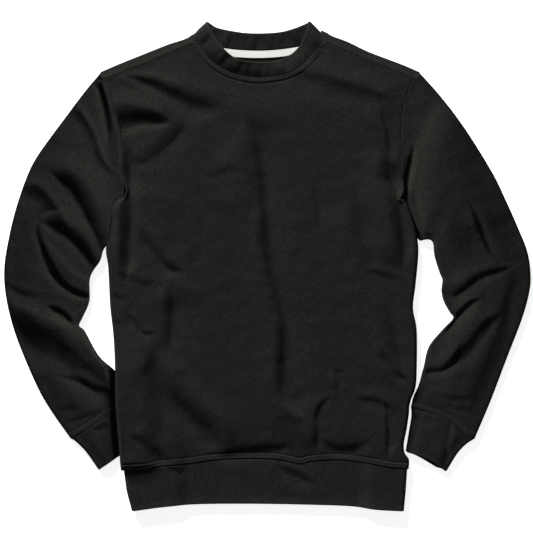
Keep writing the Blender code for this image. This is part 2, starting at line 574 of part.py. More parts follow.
def hem_section(left_x, right_x, tops):
    """Outer and inner points once round the hem band, from the left seam over the front to the back.

    The second coordinate of each is the place along the hem seam that it hangs from, not yet its y.
    """
    low = levels(RIB)
    inset = (low[3] + RIB) / 2
    left_fold, right_fold = left_x + inset, right_x - inset
    left_turn, right_turn = left_fold + HEM_BACK_INSET, right_fold - HEM_BACK_INSET
    left_seam, right_seam = left_x + TUCK_LEFT, right_x - TUCK_RIGHT
    seam_half = (low[1] + RIB) / 2
    back_half = (low[2] + RIB - low[1]) / 2
    cells = len(tops) - 1

    def layer(start, end, count, below, faces_down, hangs_from=None):
        x = np.linspace(start, end, count + 1)
        lower = np.stack(np.broadcast_arrays(x, x if hangs_from is None else hangs_from, below), axis=1)
        upper = lower + [0.0, 0.0, RIB]
        return (lower, upper) if faces_down else (upper, lower)

    def turned(centre, hangs_from, side, bottom, top, outward):
        return bend(centre, hangs_from, side, bottom, top, outward, RIB, ROUND_ANGLES[1:-1])

    def reverse(pair):
        return pair[0][::-1], pair[1][::-1]

    def swap(pair):
        return pair[1], pair[0]

    back_x = np.linspace(right_turn, left_turn, cells + 1)
    runs = [
        layer(left_seam, left_fold, TUCK_CELLS, low[0], True, left_fold),
        turned(left_fold, left_fold, -1, low[0], tops[0], inset),
        layer(left_fold, right_fold, cells, tops - RIB, False),
        reverse(turned(right_fold, right_fold, 1, low[0], tops[-1], inset)),
        layer(right_fold, right_seam, TUCK_CELLS, low[0], True, right_fold),
        turned(right_seam, right_fold, -1, low[0], low[1] + RIB, seam_half),
        layer(right_seam, right_turn, TUCK_CELLS, low[1], False, right_fold),
        swap(turned(right_turn, right_fold, 1, low[1], low[2] + RIB, back_half)),
        layer(right_turn, left_turn, cells, back_base(back_x, HEM_SEAM[0][1], RIB), True),
        reverse(swap(turned(left_turn, left_fold, -1, low[1], low[2] + RIB, back_half))),
        layer(left_turn, left_seam, TUCK_CELLS, low[1], False, left_fold),
        reverse(turned(left_seam, left_fold, 1, low[0], low[1] + RIB, seam_half)),
    ]
    return [np.vstack([run[k] for run in runs]) for k in (0, 1)]


def hem_band():
    seam, line = smooth_curve(HEM_SEAM), smooth_curve(HEM_LINE)
    side_height = levels(RIB)[3] + RIB
    middle_height = SHOULDER_HEIGHT + 2 * (RIB - FLEECE)
    grids = [], []
    for r in range(HEM_ROWS + 1):
        v = r / HEM_ROWS
        left_x = np.interp(v, [0, 0.5, 1], [place[0] for place in HEM_SIDE_LEFT])
        right_x = np.interp(v, [0, 0.5, 1], [place[0] for place in HEM_SIDE_RIGHT])
        x = np.linspace(left_x + side_height / 2, right_x - side_height / 2, HEM_CELLS + 1)
        y = (1 - v) * np.interp(x, seam[:, 0], seam[:, 1]) + v * np.interp(x, line[:, 0], line[:, 1])
        sides = layered(x, HEM_SEAM[0][1], FRONT_CLIMB)
        base = middle_height + (side_height - middle_height) * sides
        least = back_base(x, HEM_SEAM[0][1], RIB) + 2 * RIB + LEAST_AIR
        tops = np.maximum(base + relief(x, y), least)
        tops[[0, -1]] = side_height
        for grid, points in zip(grids, hem_section(left_x, right_x, tops)):
            seam_y = np.interp(points[:, 1], seam[:, 0], seam[:, 1]) - SEAM_GAP
            line_y = np.interp(points[:, 0], line[:, 0], line[:, 1])
            points[:, 1] = (1 - v) * seam_y + v * line_y
            points[:, 2] += lift(points[:, 0], points[:, 1])
            grid.append(points)
    return build_wall("hem_band", np.array(grids[0]), np.array(grids[1]), BLACK_RIB, ring=True)


# ---------------------------------------------------------------------------------- sleeves and cuffs


def tube_rings(plan, tops, edges, wall):
    """Outer and inner points round each ring of a flattened tube.

    plan and tops are rows of its upper run, and edges are the two outlines that its rounded edges reach.
    """
    grids = [], []
    for r, (places, heights) in enumerate(zip(plan, tops)):
        top = np.column_stack([places, heights])
        base = np.column_stack([places[::-1], np.zeros(len(places))])
        rounds = []
        for k in (0, -1):
            out = edges[k][r] - places[k]
            reach = np.linalg.norm(out)
            turned = bend(0.0, 0.0, 1, 0.0, heights[k], reach, wall, ROUND_ANGLES[1:-1])
            rounds.append([np.column_stack([places[k] + points[:, :1] * out / reach, points[:, 2]])
                           for points in turned])
        for k, depth in enumerate((0.0, wall)):
            grids[k].append(np.vstack([top - [0, 0, depth], rounds[1][k][::-1], base + [0, 0, depth],
                                       rounds[0][k]]))
    return np.array(grids[0]), np.array(grids[1])


def under_body(x, y):
    """The most height a sleeve or cuff may have where the body's left side lies on it."""
    beside = edge_x(SIDE_LEFT, y) - FREE_MARGIN - x
    free = np.maximum(beside, 0.0) * FREE_SLOPE
    no_limit = 20.0
    return CUFF_FLAT + free + no_limit * ramp(y, FREE_ABOVE)


def bow(run, start, end):
    """How far each point of a run lies from its place on the straight line from start to end."""
    u = np.linspace(0.0, 1.0, len(run))[:, None]
    return run - (start + u * (end - start))


def tube_plan(first, last, edges, rounding):
    """Places of a flattened tube's upper run from its first end to its last, inside its two edges.

    first and last are the runs across its ends. The first is met exactly, the last in its curve alone.
    """
    rings = len(edges[0]) - 1
    u = np.linspace(0.0, 1.0, len(first))[:, None]
    across = edges[1] - edges[0]
    across /= np.linalg.norm(across, axis=1)[:, None]
    starts = edges[0] + across * rounding
    ends = edges[1] - across * rounding
    first_bow = bow(first, starts[0], ends[0])
    last_bow = bow(last, last[0], last[-1])
    plan = []
    for r in range(rings + 1):
        v = r / rings
        row = starts[r] + u * (ends[r] - starts[r])
        plan.append(row + first_bow * (1 - ease(v / 0.45)) + last_bow * ease((v - 0.7) / 0.3))
    return np.array(plan)


def part_at_seam(plan, edges, row, neighbour):
    """Moves one end of a tube off its seam, by the gap that sewn pieces keep."""
    axis = plan[neighbour].mean(axis=0) - plan[row].mean(axis=0)
    step = SEAM_GAP * axis / np.linalg.norm(axis)
    plan[row] += step
    for edge in edges:
        edge[row] += step


def sleeve(name, armhole, outlines, cuff_seam, body_lies_on_it):
    first = armhole[::-1].copy()
    first[-1] += ARMPIT_SHARE * (first[-2] - first[-1])
    edges = [even_points(outline, SLEEVE_RINGS) for outline in outlines]
    plan = tube_plan(first, even_points(cuff_seam, SLEEVE_TOP_CELLS), edges, SLEEVE_ROUNDING)
    part_at_seam(plan, edges, 0, 1)
    part_at_seam(plan, edges, -1, -2)
    x, y = plan[..., 0], plan[..., 1]
    u = np.linspace(0.0, 1.0, SLEEVE_TOP_CELLS + 1)[None, :]
    v = np.linspace(0.0, 1.0, SLEEVE_RINGS + 1)[:, None]
    width = np.linalg.norm(plan[:, -1] - plan[:, 0], axis=1)[:, None]
    from_edge = np.minimum(u, 1 - u) * width
    fullness = ease(v / 0.2) * ease((1 - v) / 0.12)
    base = SHOULDER_HEIGHT + SLEEVE_CROWN * fullness * ease(from_edge / CROWN_REACH)
    tops = base + relief(x, y) * ramp(from_edge, SLEEVE_RIM)
    if body_lies_on_it:
        tops = np.minimum(tops, under_body(x, y))
    tops = np.maximum(tops, 2 * FLEECE + LEAST_AIR)
    outer, inner = tube_rings(plan, tops, edges, FLEECE)
    return build_wall(name, outer, inner, BLACK_FLEECE, ring=True)


def cuff(name, cuff_seam, end, outlines, body_lies_on_it):
    edges = [even_points(outline, CUFF_RINGS) for outline in outlines]
    seam = even_points(cuff_seam, CUFF_CELLS)
    across = edges[1][0] - edges[0][0]
    rim = CUFF_ROUNDING * across / np.linalg.norm(across)
    u = np.linspace(0.0, 1.0, CUFF_CELLS + 1)
    first = edges[0][0] + rim + u[:, None] * (across - 2 * rim) + bow(seam, seam[0], seam[-1])
    plan = tube_plan(first, even_points(end, CUFF_CELLS), edges, CUFF_ROUNDING)
    part_at_seam(plan, edges, 0, 1)
    crown = CUFF_CROWN * ease(4 * np.minimum(u, 1 - u))
    tops = np.broadcast_to(CUFF_EDGE_HEIGHT + crown, plan.shape[:2])
    if body_lies_on_it:
        tops = np.minimum(tops, under_body(plan[..., 0], plan[..., 1]))
    outer, inner = tube_rings(plan, tops, edges, RIB)
    return build_wall(name, outer, inner, BLACK_RIB, ring=True)


# ---------------------------------------------------------------------------------- the neck


def neckband():
    half = BAND_WALL / 2
    seams = smooth_curve([station.seam for station in NECKBAND], closed=True, steps=2)
    edges = smooth_curve([station.edge for station in NECKBAND], closed=True, steps=2)
    middles = (seams + edges) / 2
    along = np.roll(middles, -1, axis=0) - np.roll(middles, 1, axis=0)
    height = edges - seams
    height /= np.linalg.norm(height, axis=1)[:, None]
    facing = np.cross(height, along)
    facing /= np.linalg.norm(facing, axis=1)[:, None]
    # Steps up the band from its seam, and how much of the wall lies there
    steps = [(0.0, 1.0), (0.35, 1.0), (0.7, 1.0), (0.94, 0.85), (1.0, 0.4)]
    outer, inner = [], []
    for up, full in steps:
        centre = seams + up * (edges - seams)
        outer.append(centre + facing * half * full)
        inner.append(centre - facing * half * full)
    return build_wall("neckband", np.array(outer), np.array(inner), BLACK_RIB, ring=True)


def neck_tape():
    top = even_points([(-86, 328.8)] + BACK_NECK[1:6] + [(70, 331.5)], TAPE_CELLS) - [0.0, TAPE_BELOW_SEAM]
    grids = []
    for z in (FLEECE + SEAM_GAP + TAPE_WALL, FLEECE + SEAM_GAP):
        rows = [np.column_stack([top - [0.0, TAPE_WIDTH * v], np.full(len(top), z)]) for v in (0.0, 0.5, 1.0)]
        grids.append(np.array(rows))
    return build_wall("neck_tape", grids[0], grids[1], WHITE_TAPE)


def main():
    for old in list(bpy.data.objects):
        bpy.data.objects.remove(old, do_unlink=True)
    front_panel()
    back_panel()
    hem_band()
    sleeve("sleeve_left", left_armhole(), (SLEEVE_OUTER_LEFT, SLEEVE_INNER_LEFT), CUFF_SEAM_LEFT, True)
    sleeve("sleeve_right", right_armhole(), (SLEEVE_OUTER_RIGHT, SLEEVE_INNER_RIGHT), CUFF_SEAM_RIGHT,
           False)
    cuff("cuff_left", CUFF_SEAM_LEFT, CUFF_END_LEFT, (CUFF_OUTER_LEFT, CUFF_INNER_LEFT), True)
    cuff("cuff_right", CUFF_SEAM_RIGHT, CUFF_END_RIGHT, (CUFF_OUTER_RIGHT, CUFF_INNER_RIGHT), False)
    neckband()
    neck_tape()


main()
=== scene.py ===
"""Looks of a black fleece crewneck sweatshirt that lies flat and face up, both sides turned under.

Lengths are millimetres in all that shapes a piece, and become metres where its mesh is made. X runs to the
viewer's right, Y from the hem to the neck and Z up from the surface. Left and right are the viewer's.
"""

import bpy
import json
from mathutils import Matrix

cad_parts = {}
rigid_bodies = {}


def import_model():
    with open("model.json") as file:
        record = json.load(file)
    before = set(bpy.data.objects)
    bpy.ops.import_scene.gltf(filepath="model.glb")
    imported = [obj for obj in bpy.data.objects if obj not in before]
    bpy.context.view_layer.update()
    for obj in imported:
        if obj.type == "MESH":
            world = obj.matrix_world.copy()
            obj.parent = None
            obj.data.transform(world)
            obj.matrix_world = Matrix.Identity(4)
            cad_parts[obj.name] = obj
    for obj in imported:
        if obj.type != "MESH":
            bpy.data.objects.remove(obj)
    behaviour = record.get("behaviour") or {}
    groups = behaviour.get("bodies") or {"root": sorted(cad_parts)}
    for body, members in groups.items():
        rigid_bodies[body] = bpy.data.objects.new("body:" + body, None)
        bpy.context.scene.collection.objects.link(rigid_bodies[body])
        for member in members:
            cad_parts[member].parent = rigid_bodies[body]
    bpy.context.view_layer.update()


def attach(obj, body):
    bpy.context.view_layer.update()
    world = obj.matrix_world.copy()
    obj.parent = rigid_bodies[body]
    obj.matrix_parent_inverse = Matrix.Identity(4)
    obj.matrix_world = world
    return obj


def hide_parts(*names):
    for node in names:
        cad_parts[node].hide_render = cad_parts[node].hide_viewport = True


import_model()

import json
from collections import namedtuple

import bpy
import numpy as np
from bpy.props import FloatProperty, FloatVectorProperty, PointerProperty
from mathutils import Vector

bl_info = {
    "name": "Crewneck Sweatshirt",
    "version": (1, 0, 0),
    "blender": (4, 5, 0),
    "location": "View3D > Sidebar > Sweatshirt",
    "description": "Black fleece crewneck sweatshirt laid out flat, built around its packed frame",
    "category": "Object",
}

MM = 0.001
TINY = 1e-6

# Lengths of the panels' edges and depths of the bands, from which the numbers of their cells follow
SIDE_LENGTH = 402.0
ARMHOLE_LENGTH = 182.0
SHOULDER_LENGTH = 130.0
NECK_LENGTH = 170.0
SLEEVE_LENGTH = 600.0
HEM_DEPTH = 62.0
CUFF_DEPTH = 60.0
BAND_DEPTH = 24.0
TAPE_LENGTH = 160.0
TAPE_WIDTH = 9.2

# Sizes of the cells, and how many go across a hem or cuff, along a turned-under strip and round its edge
FRONT_CELL = 2.75
BACK_CELL = 4.6
ARMHOLE_CELL = 2.5
SLEEVE_CELL = 2.9
HEM_CELL = 6.0
CUFF_CELL = 5.0
BAND_CELL = 2.4
TAPE_CELL = 2.0
TAPE_ROW = 1.5
CELLS_A_RIB = 4
FINE_ENDS = {"start": 6, "end": 3, "fine": 0.75}
HEM_COLUMNS = 220
CUFF_COLUMNS = 48
TUCK_CELLS = 12
ROUND_CELLS = 10
ROUND_ANGLES = np.linspace(0.0, np.pi, ROUND_CELLS + 1)
WRAPPED = TUCK_CELLS + ROUND_CELLS

# Shares of a panel's height and width that its parts take, which keep its cells in line with the solid's
SIDE_SHARE = 21 / 31
SHOULDER_SHARE = 8 / 28
SHOULDER_TIP_ROW = 1.1  # where the back's last row lies, past the armhole's end at 1

# How the body lies, as its solids do: two layers in the middle, four at its sides, which are turned under
TUCK_LEFT = 68.0
TUCK_RIGHT = 42.0
SIDE_HEIGHT = 13.2
SIDE_ROUND = 6.0
BACK_INSET = 9.0
HEM_BACK_INSET = 3.0
SHOULDER_HEIGHT = 8.6
SHOULDER_ROUND = 4.0
BODY_SWELL = 3.6
SWELL_REACH = 55.0
LAYER_GAP = 0.5
LEAST_AIR = 0.3
BACK_CLIMB = (1.0, 18.0)
FRONT_CLIMB = (10.0, 34.0)
ARMPIT_FADE = 30.0
SOFTNESS = 0.9  # how gently a deep fold comes to rest on the layer below it

# Where folds rest: beside seams, at the flat rims of the sides, and on the underside
SEAM_CALM = (0.0, 6.0)
FLAT_RIM = (1.0, 12.0)
ABOVE_ARMPIT = (-4.0, 14.0)
HIDDEN_CALM = (4.0, 40.0)
HIDDEN_TOP = 255.0
HIDDEN_RIM = (0.0, 14.0)

# The back's strip from the shoulder's edge to the forward seam: its rows and how they rise and then dip
FORWARD_SHARES = np.array([0.2, 0.42, 0.64, 0.8, 0.9, 1.0])
FORWARD_HEIGHTS = np.array([-2.0, -1.3, -0.7, -0.2, 0.0, -1.1])
SHOULDER_FALL = 2.6
SEAM_OVERLAP = 1.4

# The left sleeve's end and its cuff, under the body's left side
CUFF_LIFT = 7.4
LIFT_ACROSS = (-186.0, -152.0)
LIFT_BELOW = (-308.0, -288.0)
LIFT_ABOVE = (-174.0, -76.0)
CUFF_FLAT = 6.4
FREE_MARGIN = 6.0
FREE_SLOPE = 0.55
FREE_ABOVE = (-150.0, -120.0)
NO_LIMIT = 20.0

# Sleeves and cuffs
SLEEVE_ROUNDING = 4.0
SLEEVE_CROWN = 4.6
CROWN_REACH = 45.0
SLEEVE_RIM = (-8.0, 6.0)
SLEEVE_END_CALM = (2.0, 16.0)
FILLED_AFTER = 0.2
FILLED_UNTIL = 0.12
FIRST_BOW_SHARE = 0.45
LAST_BOW_START = 0.7
LAST_BOW_SHARE = 0.3
CUFF_ROUNDING = 4.2
CUFF_EDGE_HEIGHT = 8.4
CUFF_CROWN = 1.6
CUFF_OPENS = (0.4, 1.0)
MOUTH_ENDS = (4.0, 1.6)

# Seams: the fall into one, the rise of its doubled allowance, and the row that stitches that down
SEAM_FALL = (0.0, 1.6)
RIDGE_START = (0.4, 2.0)
RIDGE_END = (-0.6, 1.0)
ROW_SINK = 0.9
ROW_WIDTH = 1.2
HEM_GROOVE = 0.5
NECK_GROOVE = 0.9
CUFF_GROOVE = 0.9
ARMHOLE_VALLEY = (0.5, 1.4)
SHOULDER_VALLEY = (0.45, 1.3)
ALLOWANCE = 2.2
ALLOWANCE_DROP = 1.2
ALLOWANCE_SLANT = 0.6
BAND_DIP = (-0.6, 1.6)
HEM_DIP = 1.2
CUFF_DIP = 1.6
HEM_EDGE_RISE = 0.7
HEM_EDGE = (7.0, 3.0)
END_RADIUS = 1.6
END_LEAST = 0.02
RIBS_START = (1.0, 4.0)
RIBS_END = (0.2, 2.0)
# Lighter strip just inside the bands' folded ends: rubbing wear and a painted highlight
RIM_WEAR_AND_HIGHLIGHT = 1.5
RIM_WEAR_AND_HIGHLIGHT_WIDTH = 1.6

# The neckband's soft waves, as height, length and phase, and the tape below it
BAND_RIPPLES = [(0.55, 34.0, 0.6), (0.35, 21.0, 2.2), (0.2, 13.0, 4.0)]
BAND_SWELL = 0.8
BAND_SWELL_TOP = 0.8
FACING_CELLS = 6
BAND_LOWEST = 0.05
TAPE_BELOW_SEAM = 0.6
TAPE_GAP = 0.3
TAPE_ENDS = [(-86, 328.8), (70, 331.5)]

# Folds: how they come to rest beside their fall, how far that reaches, and how they fade at their two tips
REST_POWER = 1.7
FOLD_REACH = 2.2
TIP_SHARE = 0.3
TIP_LENGTH = 44.0
TIP_WIDTH = 0.35

# Slow swell of cloth that no iron has touched: height, wavelength, direction in degrees and phase
SWELL = [(0.16, 61.0, 17.0, 0.4), (0.13, 43.0, 71.0, 1.9), (0.10, 33.0, 128.0, 3.1), (0.07, 24.0, 44.0, 5.2),
         (0.05, 19.0, 101.0, 0.9), (0.04, 15.0, 163.0, 2.4)]
SWELL_DRIFT = 1.6
DRIFT_WAVES = 2.3

# Thread: how far its middle stands off the cloth and off the floor, and the rows of cells that it is sewn on
THREAD_ABOVE = 0.12
THREAD_LEAST = 0.1
HEM_ROWS = (2, 7)
NECK_ROWS = (-3, -6, -8)
SHOULDER_ROW = -3
SLEEVE_ROWS = (3, -3, -10)

# Stage, with its distances in metres, and the width that the camera takes in
FLOOR_HALF = 6.0
KEY_DISTANCE = 8.0
KEY_SPREAD = 0.3
LENS = 135.0
SENSOR_WIDTH = 36.0
FAR_CLIP = 50.0
VIEW_CENTRE = (-0.0015, -0.0003)
SHARP_HEIGHT = 0.008
IMAGE_PIXELS = 533
MM_A_PIXEL = 1.48

# Outlines from above, each list ordered as its comment says
SIDE_LEFT = [(-217, -302), (-218.5, -280), (-221, -250), (-224.5, -205), (-225.5, -150), (-228, -105),
             (-233, -60), (-235, -20), (-236.5, 4), (-239, 18), (-239, 30), (-235.5, 46), (-233, 62),
             (-231.5, 78), (-228, 91), (-219, 101)]  # hem to armpit
SIDE_RIGHT = [(209, -300), (209.5, -286), (203, -276), (202, -262), (206, -242), (209.5, -218), (210, -208),
              (213, -196), (219, -180), (221, -155), (221, -95), (215.5, -62), (219, -30), (222.5, 5),
              (223.5, 24), (222.5, 38), (220.5, 50), (217.5, 62), (213, 76), (208, 90),
              (202, 99)]  # hem to armpit
ARMHOLE_LEFT = [(-209, 112), (-215, 132), (-220, 154), (-219, 180), (-221, 205), (-229, 232),
                (-236, 258)]  # armpit to shoulder seam, both left out
ARMHOLE_RIGHT = [(202, 114), (198, 138), (197, 170), (198, 210), (202, 240), (210, 264)]
SHOULDER_SEAM_LEFT = [(-239.5, 278), (-205, 292), (-180, 301), (-150, 315), (-120, 328.5),
                      (-105, 335)]  # tip to neck
SHOULDER_SEAM_RIGHT = [(216, 278), (190, 290), (150, 306), (110, 322), (92, 329.5), (80, 334)]
SHOULDER_LINE_LEFT = [(-247.5, 288), (-220, 300), (-185, 314), (-150, 328), (-130, 334.5), (-119, 338.5),
                      (-111, 344), (-104, 346.5)]
SHOULDER_LINE_RIGHT = [(225.5, 288), (200, 299), (150, 318), (120, 332.5), (96, 341.5), (87, 347), (79, 350)]
FRONT_NECK = [(-105, 335), (-99, 325), (-91, 314), (-79, 302), (-62, 291), (-44, 284.5), (-26, 281),
              (-12, 280), (12, 282.5), (32, 287.5), (50, 298), (62, 309.5), (72, 321.5), (80, 334)]
BACK_NECK = [(-90, 330.5), (-66, 322), (-35, 319), (-5, 318.6), (25, 321), (49, 326.8), (74, 333),
             (82, 334.5)]
HEM_SEAM = [(-216, -302), (-180, -300), (-157, -296), (-120, -293), (-74, -287), (-20, -285), (20, -287),
            (47, -293), (66, -289), (107, -287), (148, -292), (182, -298), (208, -300)]
HEM_LINE = [(-201, -362.5), (-157, -356.5), (-110, -352.5), (-40, -351.5), (40, -352.5), (120, -355),
            (160, -360), (202, -362.5)]
HEM_SIDE_LEFT = [(-213, -305), (-209, -330), (-201, -362)]
HEM_SIDE_RIGHT = [(207, -303), (205, -330), (202, -362)]

SLEEVE_OUTER_LEFT = [(-248, 286), (-269, 261), (-300, 220), (-342, 162), (-360, 124), (-375, 78), (-384, 39),
                     (-390, 1), (-389, -35), (-380, -80), (-367, -119), (-340, -181), (-318, -218),
                     (-291, -256)]  # shoulder tip to cuff
SLEEVE_INNER_LEFT = [(-213, 94), (-221, 93), (-227, 88), (-230.5, 80), (-231, 70), (-232, 56),
                     (-235, 42), (-238.5, 31), (-243.5, 23), (-248, 8), (-259, -8), (-263.5, -22),
                     (-264, -52), (-274, -76), (-279, -88), (-270, -97), (-250, -132), (-226, -155),
                     (-212, -178), (-207, -197)]  # armpit to cuff
SLEEVE_OUTER_RIGHT = [(226, 286), (258, 250), (295, 200), (333, 139), (353, 98), (370, 60), (385, 22),
                      (390, -14), (387, -43), (376, -81), (354, -138), (330, -201), (307, -255)]
SLEEVE_INNER_RIGHT = [(197, 92), (203, 91), (209, 87), (212, 78), (216, 64), (219, 52), (221.5, 43),
                      (226, 38), (234, 39.5), (241, 39), (245.5, 33), (247.5, 14), (255, -10), (259, -20),
                      (257.5, -36), (261, -52), (270, -68), (275, -77), (259, -94), (239, -119),
                      (231, -150), (224, -176), (216.5, -192), (212.5, -208)]
CUFF_SEAM_LEFT = [(-291, -256), (-271, -244), (-254, -233), (-236, -221), (-207, -197)]  # outer to inner
CUFF_SEAM_RIGHT = [(307, -255), (295, -249), (280, -236.5), (262, -225.5), (239, -217), (212.5, -208)]
CUFF_END_LEFT = [(-250, -302), (-221, -282), (-192, -262)]
CUFF_END_RIGHT = [(265, -304), (251, -293), (232, -283), (204.5, -274)]
CUFF_OUTER_LEFT = [(-290, -256), (-284, -260), (-269, -275), (-250, -302)]  # seam to end
CUFF_OUTER_RIGHT = [(306, -256), (294, -264), (281, -278), (265, -304)]
CUFF_INNER_LEFT = [(-207, -197), (-201, -225), (-192, -262)]
CUFF_INNER_RIGHT = [(212.5, -208), (213, -222), (209, -247), (204.5, -274)]

Side = namedtuple("Side", "sign outline tuck armhole shoulder_seam shoulder_line")
LEFT = Side(-1, SIDE_LEFT, TUCK_LEFT, ARMHOLE_LEFT, SHOULDER_SEAM_LEFT, SHOULDER_LINE_LEFT)
RIGHT = Side(1, SIDE_RIGHT, TUCK_RIGHT, ARMHOLE_RIGHT, SHOULDER_SEAM_RIGHT, SHOULDER_LINE_RIGHT)
SIDES = (LEFT, RIGHT)
ARMPIT_Y = SIDE_LEFT[-1][1]
HEM_Y = HEM_SEAM[0][1]

# The neckband's middle surface, round from the front's middle by the left: its seam and its folded edge
Station = namedtuple("Station", "seam edge")
NECKBAND = [
    Station((-12, 281, 7.0), (-12, 302, 9.6)),
    Station((-38, 283.5, 7.0), (-33, 303.5, 12.6)),
    Station((-60, 291, 7.0), (-50, 309.5, 13.0)),
    Station((-79, 302.5, 7.0), (-63, 320, 15.0)),
    Station((-92, 314, 7.2), (-73, 332, 13.0)),
    Station((-101, 326.5, 7.4), (-81, 345, 11.5)),
    Station((-106, 337, 7.4), (-87, 357.5, 9.6)),
    Station((-108, 342.5, 4.8), (-89, 362, 5.8)),
    Station((-103, 339, 1.7), (-84, 359.5, 2.4)),
    Station((-85, 330.5, 1.7), (-75, 354, 3.0)),
    Station((-60, 325, 1.7), (-56, 349.5, 3.4)),
    Station((-32, 322.3, 1.7), (-32, 346, 3.6)),
    Station((-4, 322, 1.7), (-5, 345.5, 3.6)),
    Station((24, 324.3, 1.7), (20, 347.5, 3.8)),
    Station((50, 329, 1.7), (39, 352.5, 4.4)),
    Station((75, 335.5, 1.7), (56, 359.5, 2.0)),
    Station((82, 340, 4.6), (62, 362.5, 5.8)),
    Station((79.5, 332.5, 7.4), (60.5, 358, 9.4)),
    Station((73, 322, 7.4), (56, 345, 9.0)),
    Station((63, 309.5, 7.2), (49.5, 330, 7.8)),
    Station((49, 298, 7.0), (38.5, 317, 5.4)),
    Station((31, 288.5, 7.0), (24, 308.5, 5.2)),
    Station((10, 283, 7.0), (7, 303, 7.8)),
]

